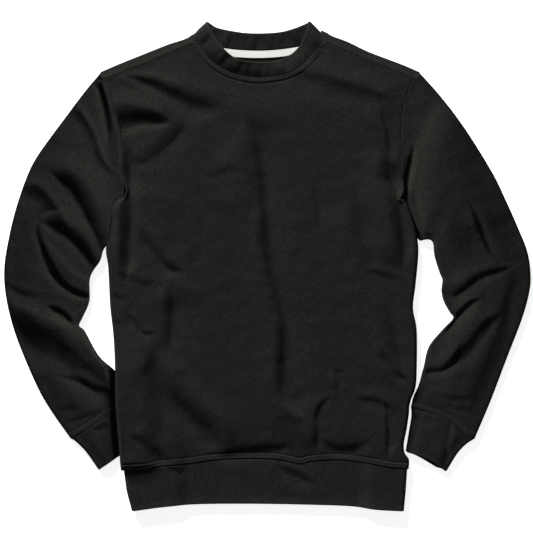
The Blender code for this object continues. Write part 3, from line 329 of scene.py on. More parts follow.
# Folds seen from above. Left of the way its path runs a fold's cloth stands up by rise, right of it it lies
# drop lower than around it; it falls from one to the other over twice the step, and eases off over before on
# the left and after on the right. bent is where the fall is steepest: at 0 in its valley, at 1 on its crest.
# spread tells how a fold widens along its path, or narrows below 0. Paths run so that their left is the side
# of the neck or of the light.
Fold = namedtuple("Fold", "path rise drop before after step bent spread", defaults=[0.3, 0.0])
BODY_FOLDS = [
    # the slack from the left shoulder and armhole
    Fold([(-212, 283), (-192, 279), (-172, 273), (-154, 266), (-136, 258), (-114, 249), (-90, 240),
          (-62, 230)], 2.5, 4.0, 11, 10, 11, 0.45, 1.3),
    Fold([(-226, 278), (-208, 270), (-188, 258)], 0.8, 0.9, 6, 8, 4),
    Fold([(-248, 222), (-222, 222), (-204, 224), (-188, 225), (-172, 223), (-156, 218), (-136, 210)],
         4.0, 4.6, 10, 8, 14, 0.4, -1.2),
    Fold([(-206, 148), (-184, 162), (-165, 176), (-149, 189), (-136, 204), (-122, 224)],
         1.0, 2.2, 9, 14, 11, 0.14),
    # down the left side
    Fold([(-213, -30), (-212, 30), (-210, 70), (-211, 110), (-212, 150), (-217, 190)], 3.0, 4.6, 8, 9, 8.5,
         0.12),
    Fold([(-218, -20), (-217, 60), (-216, 110), (-219, 170)], 0.9, 1.4, 5, 9, 6),
    Fold([(-222, -9), (-212, -12), (-200, -16), (-184, -22), (-164, -25)], 1.6, 0.7, 10, 11, 6.5),
    Fold([(-194, 66), (-171, 34), (-156, 14), (-142, 0), (-116, -10)], 1.5, 3.5, 10, 9, 7.5),
    Fold([(-178, -48), (-158, -54), (-138, -56), (-112, -50), (-84, -38)], 1.7, 0.3, 17, 12, 15),
    Fold([(-210, -62), (-198, -78), (-188, -90), (-179, -98), (-160, -96)], 0.9, 1.8, 6, 8, 3),
    Fold([(-150, -136), (-149, -100), (-148, -75), (-147, -45), (-150, -18)], 1.5, 3.0, 16, 22, 9),
    Fold([(-238, -38), (-222, -43), (-208, -50)], 0.6, 1.0, 6, 7, 4),
    Fold([(-236, -77), (-224, -81), (-212, -86)], 0.5, 1.0, 5, 6, 4),
    Fold([(-110, -2), (-111, 15), (-114, 34)], 0.6, 0.9, 9, 10, 5),
    Fold([(-98, 130), (-72, 142), (-50, 146), (-24, 141)], 0.6, 0.7, 12, 14, 7),
    # the long crease down the middle
    Fold([(66, -224), (48, -219), (34, -208), (23, -196), (18, -178), (18, -150), (20, -120), (20, -90),
          (17, -68), (10, -38), (2, -10), (-3, 20), (-6, 50), (-8, 85), (-10, 115), (-13, 150), (-20, 186),
          (-34, 226)], 2.8, 4.2, 18, 18, 10.5, 0.45),
    Fold([(-32, 60), (-32, 110), (-34, 150), (-42, 200)], 2.0, 2.0, 25, 20, 16),
    # the slack from the right shoulder and armhole
    Fold([(30, 290), (56, 283), (72, 278), (88, 274), (106, 269), (130, 262), (148, 256), (186, 245)], 1.6,
         2.2, 12, 18, 12, 0.6),
    Fold([(179, 150), (177, 184), (174, 202), (169, 218), (164, 242)], 0.9, 2.0, 8, 9, 3.2),
    Fold([(198, -12), (193, 30), (190, 60), (186, 90), (179, 116), (172, 140), (164, 176)], 5.2, 4.0, 26, 9,
         12),
    Fold([(118, 158), (150, 148), (168, 142), (188, 138), (214, 141)], 1.3, 1.2, 10, 26, 14),
    Fold([(76, 62), (70, 90), (63, 124)], 0.7, 1.1, 7, 9, 5),
    Fold([(204, -180), (186, -138), (180, -100), (172, -62), (152, -24), (138, 20), (128, 60), (122, 104)],
         2.6, 2.6, 24, 16, 12),
    Fold([(146, -4), (166, -9), (184, -14), (202, -22)], 1.0, 0.9, 8, 10, 5),
    Fold([(168, -118), (183, -144), (196, -160), (216, -168)], 0.9, 2.0, 6, 8, 4),
    # the fullness above the hem
    Fold([(-162, -120), (-155, -156), (-144, -178), (-130, -194), (-117, -207), (-103, -219), (-89, -230),
          (-77, -244), (-60, -282)], 4.0, 5.2, 16, 18, 17, 0.4),
    Fold([(-96, -276), (-66, -276), (-45, -272), (-20, -269), (0, -267), (16, -267), (38, -260)], 1.3, 1.8,
         16, 8, 8, 0.45),
    Fold([(74, -252), (98, -264), (115, -268), (132, -265), (156, -250)], 1.4, 1.4, 20, 8, 8, 0.4),
    Fold([(-214, -292), (-215, -262), (-215, -228)], 1.0, 1.0, 6, 8, 4),
    Fold([(-212, -244), (-190, -252), (-172, -264), (-156, -277), (-140, -294)], 1.4, 2.0, 13, 15, 8),
    Fold([(69, -284), (70, -245), (70, -225), (74, -209), (82, -199), (98, -186)], 1.1, 1.7, 12, 10, 4),
    Fold([(106, -184), (102, -167), (96, -150)], 1.1, 2.0, 6, 6, 3.5),
    Fold([(126, -194), (148, -195), (163, -197), (177, -204), (192, -216)], 0.9, 1.3, 10, 12, 4.5),
    Fold([(176, -290), (176, -255), (175, -225), (170, -196)], 1.2, 2.5, 10, 8, 4.5),
    Fold([(204, -292), (203, -266), (206, -240)], 1.6, 2.0, 8, 5, 3),
    # the hem band
    Fold([(10, -292), (28, -300), (48, -308), (74, -324)], 1.4, 2.4, 8, 8, 4.5),
    Fold([(-214, -306), (-190, -312), (-166, -318)], 0.4, 0.6, 9, 9, 6),
    Fold([(-150, -296), (-134, -300), (-118, -300)], 0.0, 1.4, 5, 6, 3),
    Fold([(-60, -300), (0, -318), (60, -345)], 0.0, 0.9, 16, 16, 10),
    Fold([(110, -300), (150, -320), (200, -330)], 0.0, 0.9, 14, 14, 10),
]
LEFT_SLEEVE_FOLDS = [
    # beside the armhole seam, and the long ridge that runs down from the shoulder
    Fold([(-258, 316), (-251, 284), (-245, 262), (-239, 240), (-235, 220), (-233, 200), (-234, 170)],
         0.8, 4.4, 4, 5, 4.6, 0.45, 0.9),
    Fold([(-310, 262), (-282, 226), (-268, 205), (-260, 188), (-255, 172), (-249, 157), (-241, 146),
          (-218, 128)], 2.4, 0.6, 5, 9, 7.5, 0.75),
    # the bulge above the armpit and the folds stacked below it
    Fold([(-332, 146), (-314, 141), (-300, 134), (-288, 125), (-278, 113), (-269, 98), (-260, 80), (-251, 62),
          (-240, 36), (-228, -10)], 5.2, 2.0, 22, 8, 12, 0.14),
    Fold([(-384, 122), (-356, 113), (-340, 108), (-329, 97), (-319, 83), (-309, 68), (-292, 46)],
         2.2, 1.8, 8, 13, 11, 0.75),
    Fold([(-346, 72), (-322, 66), (-307, 61), (-296, 54), (-285, 46), (-275, 37), (-266, 26), (-256, 9),
          (-242, -20)], 4.1, 2.5, 17, 7, 10, 0.22),
    Fold([(-294, 80), (-312, 81), (-327, 76), (-336, 65), (-338, 52), (-334, 37), (-327, 20), (-319, 4),
          (-311, -12), (-301, -25), (-287, -35), (-269, -42), (-240, -50)], 0.8, 2.0, 6, 6, 4.2),
    Fold([(-336, 44), (-326, 22), (-317, 4), (-307, -9), (-295, -20), (-280, -30), (-255, -40), (-236, -46)],
          2.0, 1.9, 7, 6, 11, 0.12),
    Fold([(-400, -18), (-376, -31), (-356, -40), (-328, -42)], 0.6, 0.7, 8, 10, 5),
    # the broad fold at the elbow, dark below
    Fold([(-440, -46), (-384, -78), (-352, -92), (-328, -103), (-307, -115), (-289, -129), (-272, -145),
          (-252, -162), (-206, -198)], 3.8, 5.6, 10, 18, 22, 0.55),
    Fold([(-328, -58), (-313, -62), (-303, -67), (-295, -75), (-284, -90)], 0.9, 3.2, 6, 7, 5, 0.4),
    Fold([(-342, -60), (-318, -74), (-303, -84), (-289, -95), (-276, -108), (-262, -126), (-230, -168)],
         0.5, 0.0, 5, 10, 5, 0.6),
    Fold([(-318, -158), (-280, -167), (-265, -174), (-252, -180), (-236, -184), (-200, -200)],
         1.3, 1.4, 6, 8, 5.5),
    Fold([(-318, -212), (-296, -208), (-274, -206)], 0.5, 0.6, 6, 7, 5),
    Fold([(-304, -234), (-280, -224), (-262, -217), (-240, -206)], 0.5, 0.9, 6, 7, 4),
]
RIGHT_SLEEVE_FOLDS = [
    # the flank that climbs from the armhole, and the black hollow beside the armpit
    Fold([(300, 300), (250, 212), (234, 176), (230, 140), (230, 100), (240, 40), (262, -20)],
         7.0, 0.0, 90, 10, 22),
    Fold([(220, 190), (217, 150), (211, 122), (206, 100), (209, 84), (216, 68), (226, 52), (250, 30)],
         1.0, 4.4, 5, 5, 5),
    Fold([(382, -18), (358, -1), (344, 6), (333, 15), (324, 27), (317, 42), (311, 58), (304, 76), (292, 104)],
          1.0, 2.3, 9, 7, 4.6, 0.3),
    # the flap at the elbow and the folds below it
    Fold([(232, -6), (250, -20), (263, -32), (274, -38), (285, -32), (296, -24), (308, -15), (322, -9),
          (338, -5), (370, 2)], 1.6, 2.6, 12, 8, 6.5, 0.2, -0.9),
    Fold([(258, -104), (278, -74), (286, -65), (293, -58), (302, -51), (322, -46)], 1.2, 2.6, 6, 6, 3.6),
    Fold([(262, -150), (278, -134), (292, -120), (304, -107), (315, -93), (328, -80), (350, -66)],
         2.0, 2.6, 18, 9, 10, 0.5, -0.5),
    Fold([(206, -154), (232, -152), (248, -151), (260, -148), (270, -141), (278, -130), (286, -114)],
         1.8, 2.4, 12, 6, 6, 0.16),
    Fold([(356, -30), (350, -64), (344, -96), (334, -130), (318, -168), (300, -200)],
         -0.5, -0.4, 9, 12, 12),
    Fold([(372, -10), (372, -40), (366, -72), (356, -104)], 0.6, 1.2, 12, 12, 12),
    Fold([(238, -182), (266, -192), (284, -193), (310, -196)], 0.6, 0.8, 7, 8, 4),
    Fold([(252, -201), (276, -208), (292, -209), (310, -220)], 0.5, 0.8, 6, 7, 4),
]
RIGHT_CUFF_FOLDS = [
    Fold([(273, -222), (273, -244), (270, -264), (267, -300)], 0.5, 1.1, 4, 6, 3),
    Fold([(212, -214), (228, -222), (254, -232)], 0.0, 2.4, 4, 6, 3),
]
LEFT_CUFF_FOLDS = [Fold([(-262, -244), (-246, -236), (-232, -230)], 0.0, 1.8, 4, 5, 3)]
HIDDEN_FOLDS = [
    Fold([(-150, 290), (-90, 240), (-70, 180)], 1.6, 0.0, 16, 18, 8),
    Fold([(150, 280), (110, 230), (100, 170)], 1.4, 0.0, 14, 18, 8),
    Fold([(-100, 120), (-20, 90), (60, 110)], 1.2, 0.0, 14, 16, 8),
    Fold([(-10, 250), (-2, 120), (14, -40), (8, -200)], 1.8, 0.0, 10, 22, 6),
    Fold([(120, 60), (100, -40), (112, -150)], 1.5, 0.0, 14, 20, 9),
    Fold([(-110, -10), (-92, -120), (-50, -230)], 1.6, 0.0, 14, 20, 9),
    Fold([(-40, -250), (20, -262), (90, -250)], 1.2, 0.0, 10, 14, 6),
    Fold([(-370, 70), (-320, 40), (-265, 60)], 1.8, 0.0, 10, 14, 5),
    Fold([(-375, -20), (-330, -50), (-280, -40)], 2.0, 0.0, 10, 16, 6),
    Fold([(-350, -110), (-310, -130), (-262, -120)], 1.6, 0.0, 10, 12, 5),
    Fold([(-300, 210), (-262, 180), (-240, 140)], 1.4, 0.0, 10, 14, 6),
    Fold([(370, 40), (320, 30), (262, 60)], 1.7, 0.0, 10, 14, 5),
    Fold([(375, -30), (330, -60), (280, -62)], 2.0, 0.0, 10, 16, 6),
    Fold([(340, -120), (300, -140), (250, -130)], 1.6, 0.0, 10, 12, 5),
    Fold([(300, 180), (262, 150), (236, 110)], 1.3, 0.0, 10, 14, 6),
]

# One arm: its side of the body, its outlines and folds, and how far the cuff's mouth is open. The body lies
# on the end of the left one.
Arm = namedtuple("Arm", "side outlines folds cuff_seam cuff_end cuff_outlines cuff_folds mouth under_body")
LEFT_ARM = Arm(LEFT, (SLEEVE_OUTER_LEFT, SLEEVE_INNER_LEFT), LEFT_SLEEVE_FOLDS, CUFF_SEAM_LEFT, CUFF_END_LEFT,
               (CUFF_OUTER_LEFT, CUFF_INNER_LEFT), LEFT_CUFF_FOLDS, 0.0, True)
RIGHT_ARM = Arm(RIGHT, (SLEEVE_OUTER_RIGHT, SLEEVE_INNER_RIGHT), RIGHT_SLEEVE_FOLDS, CUFF_SEAM_RIGHT,
                CUFF_END_RIGHT, (CUFF_OUTER_RIGHT, CUFF_INNER_RIGHT), RIGHT_CUFF_FOLDS, 4.5, False)
ARMS = {"left": LEFT_ARM, "right": RIGHT_ARM}


# ---------------------------------------------------------------------------------- curves and heights


def size(name):
    """A size from the panel's settings, in millimetres."""
    return getattr(bpy.context.scene.sweatshirt_cloth, name) / MM


def ease(t):
    """0 below 0, 1 above 1 and a smooth rise between them."""
    t = np.clip(t, 0.0, 1.0)
    return t * t * (3.0 - 2.0 * t)


def ramp(value, ends):
    """0 before the first end, 1 after the second and a smooth rise between them."""
    return ease((value - ends[0]) / (ends[1] - ends[0]))


def smooth_curve(points, closed=False, steps=10):
    """Points on a smooth curve through the given ones, steps for each stretch."""
    p = np.array(points, float)
    if closed:
        p = np.vstack([p[-1:], p, p[:2]])
    else:
        p = np.vstack([2 * p[0] - p[1], p, 2 * p[-1] - p[-2]])
    t = (np.arange(steps) / steps)[:, None]
    runs = []
    for a, b, c, d in zip(p, p[1:], p[2:], p[3:]):
        bow_in = 2 * a - 5 * b + 4 * c - d
        turn = 3 * (b - c) + d - a
        runs.append(b + 0.5 * t * (c - a + t * (bow_in + t * turn)))
    if not closed:
        runs.append(p[-2:-1])
    return np.vstack(runs)


def lengths_along(points):
    """How far along a run of points each one lies."""
    return np.concatenate([[0.0], np.cumsum(np.linalg.norm(np.diff(points, axis=0), axis=1))])


def spaced(wanted, length, points):
    """Points at the wanted lengths along a run, whose points lie at the given lengths."""
    return np.stack([np.interp(wanted, length, points[:, k]) for k in range(points.shape[1])], axis=1)


def points_at(points, shares):
    """Points at the given shares of the length of the smooth curve through the given points."""
    fine = smooth_curve(points)
    length = lengths_along(fine)
    return spaced(np.asarray(shares) * length[-1], length, fine)


def shares(length, step, start=0.0, end=0.0, fine=1.0):
    """Shares of a length from 0 to 1, in fine steps for the start and the end and in even steps between."""
    middle = max(1, round((length - start - end) / step))
    runs = [np.linspace(start, length - end, middle + 1)]
    if start:
        runs.insert(0, np.linspace(0.0, start, round(start / fine) + 1)[:-1])
    if end:
        runs.append(np.linspace(length - end, length, round(end / fine) + 1)[1:])
    return np.concatenate(runs) / length


def joined(*runs):
    """Runs of points end to end, each run's first point dropped where it repeats the one before."""
    return np.concatenate([runs[0]] + [run[1:] for run in runs[1:]])


def across_path(x, y, path):
    """For each place: its distance from the path, its side of it, and how far along its nearest point is."""
    nearest = np.full(x.shape, np.inf)
    side = np.ones(x.shape)
    along = np.zeros(x.shape)
    run = np.diff(path, axis=0)
    length = np.linalg.norm(run, axis=1)
    before = np.concatenate([[0.0], np.cumsum(length)])
    for (ax, ay), (rx, ry), reach, passed in zip(path, run, length, before):
        t = np.clip(((x - ax) * rx + (y - ay) * ry) / reach**2, 0.0, 1.0)
        dx = x - ax - t * rx
        dy = y - ay - t * ry
        distance = np.hypot(dx, dy)
        closer = distance < nearest
        nearest = np.where(closer, distance, nearest)
        side = np.where(closer, np.sign(rx * dy - ry * dx), side)
        along = np.where(closer, (passed + t * reach) / before[-1], along)
    return nearest, side, along


def fall(t, bent):
    """0 below 0, 1 above 1 and a rise between them whose slope grows up to bent and shrinks after it."""
    t = np.clip(t, 0.0, 1.0)
    return np.where(t < bent, t * t / bent, 1 - (1 - t) ** 2 / (1 - bent))


def rest_share(distance, step, reach):
    """How much of a fold's height is left at a distance beside it, past its step."""
    return np.exp(-((np.maximum(distance - step, 0.0) / reach) ** REST_POWER))


def fold_height(distance, fold):
    """Height that a fold adds at a distance from its path, left of it counted upwards."""
    high = fold.rise * rest_share(distance, fold.step, fold.before)
    low = -fold.drop * rest_share(-distance, fold.step, fold.after)
    return low + (high - low) * fall((distance + fold.step) / (2 * fold.step), fold.bent)


def waviness(x, y):
    """Height of the slow swell that all of the cloth has."""
    total = np.zeros(x.shape)
    for height, wave, direction, phase in SWELL:
        angle = np.radians(direction)
        along = x * np.cos(angle) + y * np.sin(angle)
        across = y * np.cos(angle) - x * np.sin(angle)
        drift = SWELL_DRIFT * np.sin(across * 2 * np.pi / (DRIFT_WAVES * wave) + phase)
        total += height * np.sin(along * 2 * np.pi / wave + drift + phase)
    return total


def relief(x, y, folds):
    """What folds add to the height of the cloth. Each fades and narrows towards its two tips."""
    x, y = np.broadcast_arrays(np.asarray(x, float), np.asarray(y, float))
    total = np.zeros(x.shape)
    for fold in folds:
        path = smooth_curve(fold.path, steps=5)
        margin = (fold.step + FOLD_REACH * max(fold.before, fold.after)) * np.exp(abs(fold.spread) / 2)
        low, high = path.min(axis=0) - margin, path.max(axis=0) + margin
        near = (x > low[0]) & (x < high[0]) & (y > low[1]) & (y < high[1])
        if not near.any():
            continue
        distance, side, along = across_path(x[near], y[near], path)
        tip = min(TIP_SHARE, max(TIP_LENGTH, fold.before) / lengths_along(path)[-1])
        taper = ease(along / tip) * ease((1.0 - along) / tip)
        width = (TIP_WIDTH + (1 - TIP_WIDTH) * taper) * np.exp(fold.spread * (along - 0.5))
        total[near] += taper * fold_height(distance * side / width, fold)
    return total + waviness(x, y)


def edge_x(side, y):
    """Where a side of the body lies at a distance y from the middle of the length."""
    outline = smooth_curve(side.outline)
    return np.interp(y, outline[:, 1], outline[:, 0])


def inside_sides(x, y):
    """How far a place lies inside the inner ends of the two turned-under strips."""
    left = x - edge_x(LEFT, y) - LEFT.tuck
    right = edge_x(RIGHT, y) - RIGHT.tuck - x
    return left, right


def layered(x, y, climb):
    """1 where the body lies on its turned-under strips, and 0 past the climb inside their ends."""
    left, right = inside_sides(x, y)
    across = np.maximum(1 - ramp(left, climb), 1 - ramp(right, climb))
    return across * (1 - ramp(y, (ARMPIT_Y, ARMPIT_Y + ARMPIT_FADE)))


def levels(wall):
    """Undersides of the four layers at a side: front strip, back strip, back and front."""
    return [layer * (wall + LAYER_GAP) for layer in range(4)]


def back_base(x, y, wall):
    """Underside of the back, which climbs onto the turned-under strips."""
    return levels(wall)[2] * layered(x, y, BACK_CLIMB)


def front_base(x, y, wall):
    """Top of the front without its folds, and the least that it needs over the back and its strips."""
    height = SHOULDER_HEIGHT + (SIDE_HEIGHT - SHOULDER_HEIGHT) * layered(x, y, FRONT_CLIMB)
    return height, back_base(x, y, wall) + 2 * wall + LEAST_AIR


def settle(height, least):
    """The height, kept above the least one by a soft landing on it."""
    over = (height - least) / SOFTNESS
    return least + SOFTNESS * np.logaddexp(0.0, over)


def lift(x, y):
    """How far the body is raised by the sleeve end and cuff that lie under its left side."""
    across = 1 - ramp(x, LIFT_ACROSS)
    along = ramp(y, LIFT_BELOW) * (1 - ramp(y, LIFT_ABOVE))
    return CUFF_LIFT * across * along


def hidden_relief(x, y):
    """Creases pressed up into the cloth that lies on the floor."""
    return np.maximum(relief(x, y, HIDDEN_FOLDS), 0.0)


# ---------------------------------------------------------------------------------- seams


def beside(x, y, path):
    """Distance of each place from a seam."""
    distance, _, _ = across_path(x, y, smooth_curve(path, steps=8))
    return distance


def seam_ridge(x, y, seam, groove):
    """Height beside a seam: a sharp drop into it, then its doubled allowance, stitched at the far side."""
    distance = beside(x, y, seam)
    width, height = size("seam_width"), size("seam_ridge")
    drop = -groove * (1 - ramp(distance, SEAM_FALL))
    raised = height * ramp(distance, RIDGE_START)
    raised = raised * (1 - ramp(distance, (width + RIDGE_END[0], width + RIDGE_END[1])))
    stitched = -ROW_SINK * height * np.exp(-(((distance - width - ROW_WIDTH) / ROW_WIDTH) ** 2))
    return drop + raised + stitched


def valley(x, y, seams, shape):
    """The narrow valley that both sides of flat seams fall into. shape is its depth and width."""
    depth, width = shape
    return -sum(depth * np.exp(-((beside(x, y, seam) / width) ** 2)) for seam in seams)


def armhole_path(side):
    """Points that an armhole's seam runs through, from the armpit to the shoulder seam."""
    armpit = (side.outline[-1][0] - side.sign * SIDE_ROUND, side.outline[-1][1])
    return [armpit] + side.armhole + [side.shoulder_seam[0]]


def armhole_valley(x, y):
    """The valley along both armholes' seams."""
    return valley(x, y, [armhole_path(side) for side in SIDES], ARMHOLE_VALLEY)


# ---------------------------------------------------------------------------------- meshes


def flat_places(grid, ring):
    """The flat cut of a grid of points, in metres: how far each lies along its row and its column."""
    closed = np.concatenate([grid, grid[:, :1]], axis=1) if ring else grid
    across = np.zeros(closed.shape[:2])
    across[:, 1:] = np.cumsum(np.linalg.norm(np.diff(closed, axis=1), axis=2), axis=1)
    across -= across[:, across.shape[1] // 2, None]
    up = np.zeros(closed.shape[:2])
    up[1:] = np.cumsum(np.linalg.norm(np.diff(closed, axis=0), axis=2), axis=0)
    return np.dstack([across, up]) * MM


def wall_quads(present, ring):
    """Corners of the quads of a wall, as (is_inner, row, column) arrays: both faces and its rims."""
    around = np.pad(present, ((1, 1), (1, 1)))
    if ring:
        around[1:-1, 0] = present[:, -1]
        around[1:-1, -1] = present[:, 0]
    r, c = np.nonzero(present)
    corners = [(r, c), (r, c + 1), (r + 1, c + 1), (r + 1, c)]
    quads = [[(0, *corner) for corner in corners], [(1, *corner) for corner in reversed(corners)]]
    for k, (down, across) in enumerate([(-1, 0), (0, 1), (1, 0), (0, -1)]):
        open_here = ~around[r + 1 + down, c + 1 + across]
        a, b = [tuple(value[open_here] for value in corners[j]) for j in (k, (k + 1) % 4)]
        quads.append([(0, *b), (0, *a), (1, *a), (1, *b)])
    return quads


def add_object(name, mesh):
    """An object of the scene with the given mesh."""
    made = bpy.data.objects.new(name, mesh)
    bpy.context.scene.collection.objects.link(made)
    return made


def build_wall(name, outer, inner, present=None, ring=False, attributes=()):
    """One closed piece of cloth between an outer and an inner grid of points, with its flat cut as UV map.

    attributes lists (name, outer values, inner values), one value for each point.
    """
    rows, columns = outer.shape[:2]
    if present is None:
        present = np.ones((rows - 1, columns if ring else columns - 1), bool)
    flat = flat_places(outer, ring)
    faces, places = [], []
    for quad in wall_quads(present, ring):
        faces.append(np.stack([k * rows * columns + r * columns + c % columns for k, r, c in quad], axis=1))
        places.append(np.stack([flat[r, c] for _, r, c in quad], axis=1))
    faces = np.concatenate(faces)
    places = np.concatenate(places)
    points = np.concatenate([outer.reshape(-1, 3), inner.reshape(-1, 3)]) * MM
    a, b, c, d = (points[faces[:, k]] for k in range(4))
    volume = np.einsum("ij,ij->i", a, np.cross(b, c) + np.cross(c, d)).sum()
    if volume < 0:
        faces, places = faces[:, ::-1], places[:, ::-1]
    used, faces = np.unique(faces, return_inverse=True)
    mesh = bpy.data.meshes.new(name)
    mesh.from_pydata(points[used].tolist(), [], faces.reshape(-1, 4).tolist())
    uv = mesh.uv_layers.new(name="flat_cut")
    uv.data.foreach_set("uv", places.reshape(-1).astype(np.float32))
    for label, outside, inside in attributes:
        values = np.concatenate([np.ravel(outside), np.ravel(inside)])[used]
        made = mesh.attributes.new(label, "FLOAT", "POINT")
        made.data.foreach_set("value", values.astype(np.float32))
    mesh.shade_smooth()
    mesh.update()
    return add_object(name, mesh)


def patch(bottom, top, left, right, u, v):
    """Grid of places between four edges that meet at their corners, row by row from the bottom."""
    u = np.asarray(u)[None, :, None]
    v = np.asarray(v)[:, None, None]
    across = (1 - u) * left[:, None] + u * right[:, None]
    up = (1 - v) * bottom[None] + v * top[None]
    corners = (1 - v) * ((1 - u) * bottom[0] + u * bottom[-1]) + v * ((1 - u) * top[0] + u * top[-1])
    return across + up - corners


def with_heights(plan, heights):
    """Points over the places of a plan, at the given heights."""
    return np.dstack([plan, heights])


def bend(centre_x, y, side, low, high, outward, wall, turn):
    """Points round the rounded edge of a folded layer, from its lower run to its upper one.

    side is -1 at the left and 1 at the right. low and high are the outer faces of the two runs, and outward
    is how far the outer face reaches past centre_x. turn lists the angles from straight down.
    """
    middle = (low + high) / 2
    half = (high - low) / 2
    outer, inner = [], []
    for angle in turn:
        sine, cosine = np.sin(angle), np.cos(angle)
        outer.append((centre_x + side * outward * sine, y, middle - half * cosine))
        inner.append((centre_x + side * (outward - wall) * sine, y, middle - (half - wall) * cosine))
    return np.array(outer), np.array(inner)


# ---------------------------------------------------------------------------------- the body


def armhole_points(side, up):
    """Points up an armhole from the armpit to the shoulder seam, and then to the tip of the shoulder."""
    tip_x, tip_y = side.shoulder_line[0]
    last = np.array([side.shoulder_seam[0], (tip_x, tip_y - SHOULDER_ROUND)], float)
    return joined(points_at(armhole_path(side), up), last)


def body_plan(inset, below, above, columns, top):
    """Places of a body panel between its two folded sides, its armholes, the hem seam and its top edge.

    below, above and columns are the shares at which its rows and columns lie. above may hold one more than
    the armhole's own rows, for the tip of the shoulder.
    """
    left, right = (joined(points_at(side.outline, below) - [side.sign * inset, 0.0],
                          armhole_points(side, above[above <= 1.0])[:len(above)]) for side in SIDES)
    seam = smooth_curve(HEM_SEAM)
    along = left[0, 0] + columns * (right[0, 0] - left[0, 0])
    bottom = np.column_stack([along, np.interp(along, seam[:, 0], seam[:, 1])])
    bottom[0], bottom[-1] = left[0], right[0]
    v = np.concatenate([below * SIDE_SHARE, SIDE_SHARE + above[1:] * (1 - SIDE_SHARE)])
    return patch(bottom, top, left, right, columns, v / v[-1])


def top_columns(step):
    """Shares of the columns over the left shoulder, the neck and the right shoulder, and over the whole."""
    shoulder = shares(SHOULDER_LENGTH, step, start=8)
    neck = shares(NECK_LENGTH, step)
    whole = np.concatenate([shoulder * SHOULDER_SHARE,
                            SHOULDER_SHARE + neck[1:] * (1 - 2 * SHOULDER_SHARE),
                            1 - (shoulder[::-1] * SHOULDER_SHARE)[1:]])
    return shoulder, neck, whole


def top_slices(shoulder, neck):
    """Columns of a body panel's grid that lie over its left shoulder, its neck and its right shoulder."""
    first = WRAPPED + len(shoulder) - 1
    last = first + len(neck) - 1
    return slice(WRAPPED, first + 1), slice(first, last + 1), slice(last, last + len(shoulder))


def turned_under(side, fold, heights, low, outward, inset, wall):
    """The turned-under strip and the rounded edge of each row of a panel, outer and inner points.

    fold lists the places where the rows bend and heights the tops of their upper runs. low is the strip's
    underside, and inset how far the bends lie inside the body's outline.
    """
    outer, inner = [], []
    for (x, y), high in zip(fold, heights):
        round_outer, round_inner = bend(x, y, side.sign, low, high, outward, wall, ROUND_ANGLES[:-1])
        under = np.linspace(x - side.sign * (side.tuck - inset), x, TUCK_CELLS + 1)[:-1]
        strip = np.stack([under, np.full(TUCK_CELLS, y), np.full(TUCK_CELLS, low)], axis=1)
        outer.append(np.vstack([strip, round_outer]))
        inner.append(np.vstack([strip + [0, 0, wall], round_inner]))
    return np.array(outer), np.array(inner)


def with_sides(middle, strips, side_rows):
    """The grids of a panel with its turned-under sides, raised by what lies below, and which cells it has."""
    grids = []
    for k in (0, 1):
        grid = np.concatenate([strips[0][k], middle[k], strips[1][k][:, ::-1]], axis=1)
        grid[..., 2] += lift(grid[..., 0], grid[..., 1])
        grids.append(grid)
    present = np.ones((grids[0].shape[0] - 1, grids[0].shape[1] - 1), bool)
    present[side_rows - 1:, :WRAPPED] = False
    present[side_rows - 1:, -WRAPPED:] = False
    return grids, present


def fold_share(x, y):
    """How far the folds show: not at the very edge of the body's sides, and fully elsewhere."""
    edge = np.minimum(x - edge_x(LEFT, y), edge_x(RIGHT, y) - x)
    above = (ARMPIT_Y + ABOVE_ARMPIT[0], ARMPIT_Y + ABOVE_ARMPIT[1])
    return np.maximum(ramp(edge, FLAT_RIM), ramp(y, above))


def front_top(x, y, wall):
    """Top of the front: two layers in the middle, four at the sides, with the folds added."""
    seams = [armhole_path(side) for side in SIDES] + [side.shoulder_seam for side in SIDES] + [FRONT_NECK]
    inside = np.min([beside(x, y, seam) for seam in seams], axis=0)
    swell = BODY_SWELL * (1 - layered(x, y, FRONT_CLIMB))
    swell = swell * ease(np.minimum(inside, beside(x, y, HEM_SEAM)) / SWELL_REACH)
    base, least = front_base(x, y, wall)
    folds = relief(x, y, BODY_FOLDS) * fold_share(x, y) * ramp(inside, SEAM_CALM)
    return settle(base + swell + folds, least)


def make_front():
    """The front, its sides turned under themselves."""
    wall = size("fleece_wall")
    shoulder, neck, columns = top_columns(FRONT_CELL)
    edge = joined(points_at(SHOULDER_SEAM_LEFT, shoulder), points_at(FRONT_NECK, neck),
                  points_at(SHOULDER_SEAM_RIGHT[::-1], 1 - shoulder[::-1]))
    below = shares(SIDE_LENGTH, FRONT_CELL, start=12)
    above = shares(ARMHOLE_LENGTH, FRONT_CELL, end=13)
    plan = body_plan(SIDE_ROUND, below, above, columns, edge)
    x, y = plan[..., 0], plan[..., 1]
    ridges = seam_ridge(x, y, HEM_SEAM, HEM_GROOVE) + seam_ridge(x, y, FRONT_NECK, NECK_GROOVE)
    shoulders = valley(x, y, [side.shoulder_seam for side in SIDES], SHOULDER_VALLEY)
    top = front_top(x, y, wall) + ridges + armhole_valley(x, y) + shoulders
    strips = [turned_under(side, plan[:, end], top[:, end], 0.0, SIDE_ROUND, SIDE_ROUND, wall)
              for side, end in ((LEFT, 0), (RIGHT, -1))]
    middle = (with_heights(plan, top), with_heights(plan, top - wall))
    grids, present = with_sides(middle, strips, len(below))
    # raised seam allowances beside the hem and neck are made lighter: rubbing wear and a painted highlight
    wear = np.zeros(grids[0].shape[:2])
    wear[:, WRAPPED:-WRAPPED] = np.clip(ridges, 0, 1)
    return build_wall("front_body", *grids, present, attributes=[("wear", wear, 0 * wear)]), grids


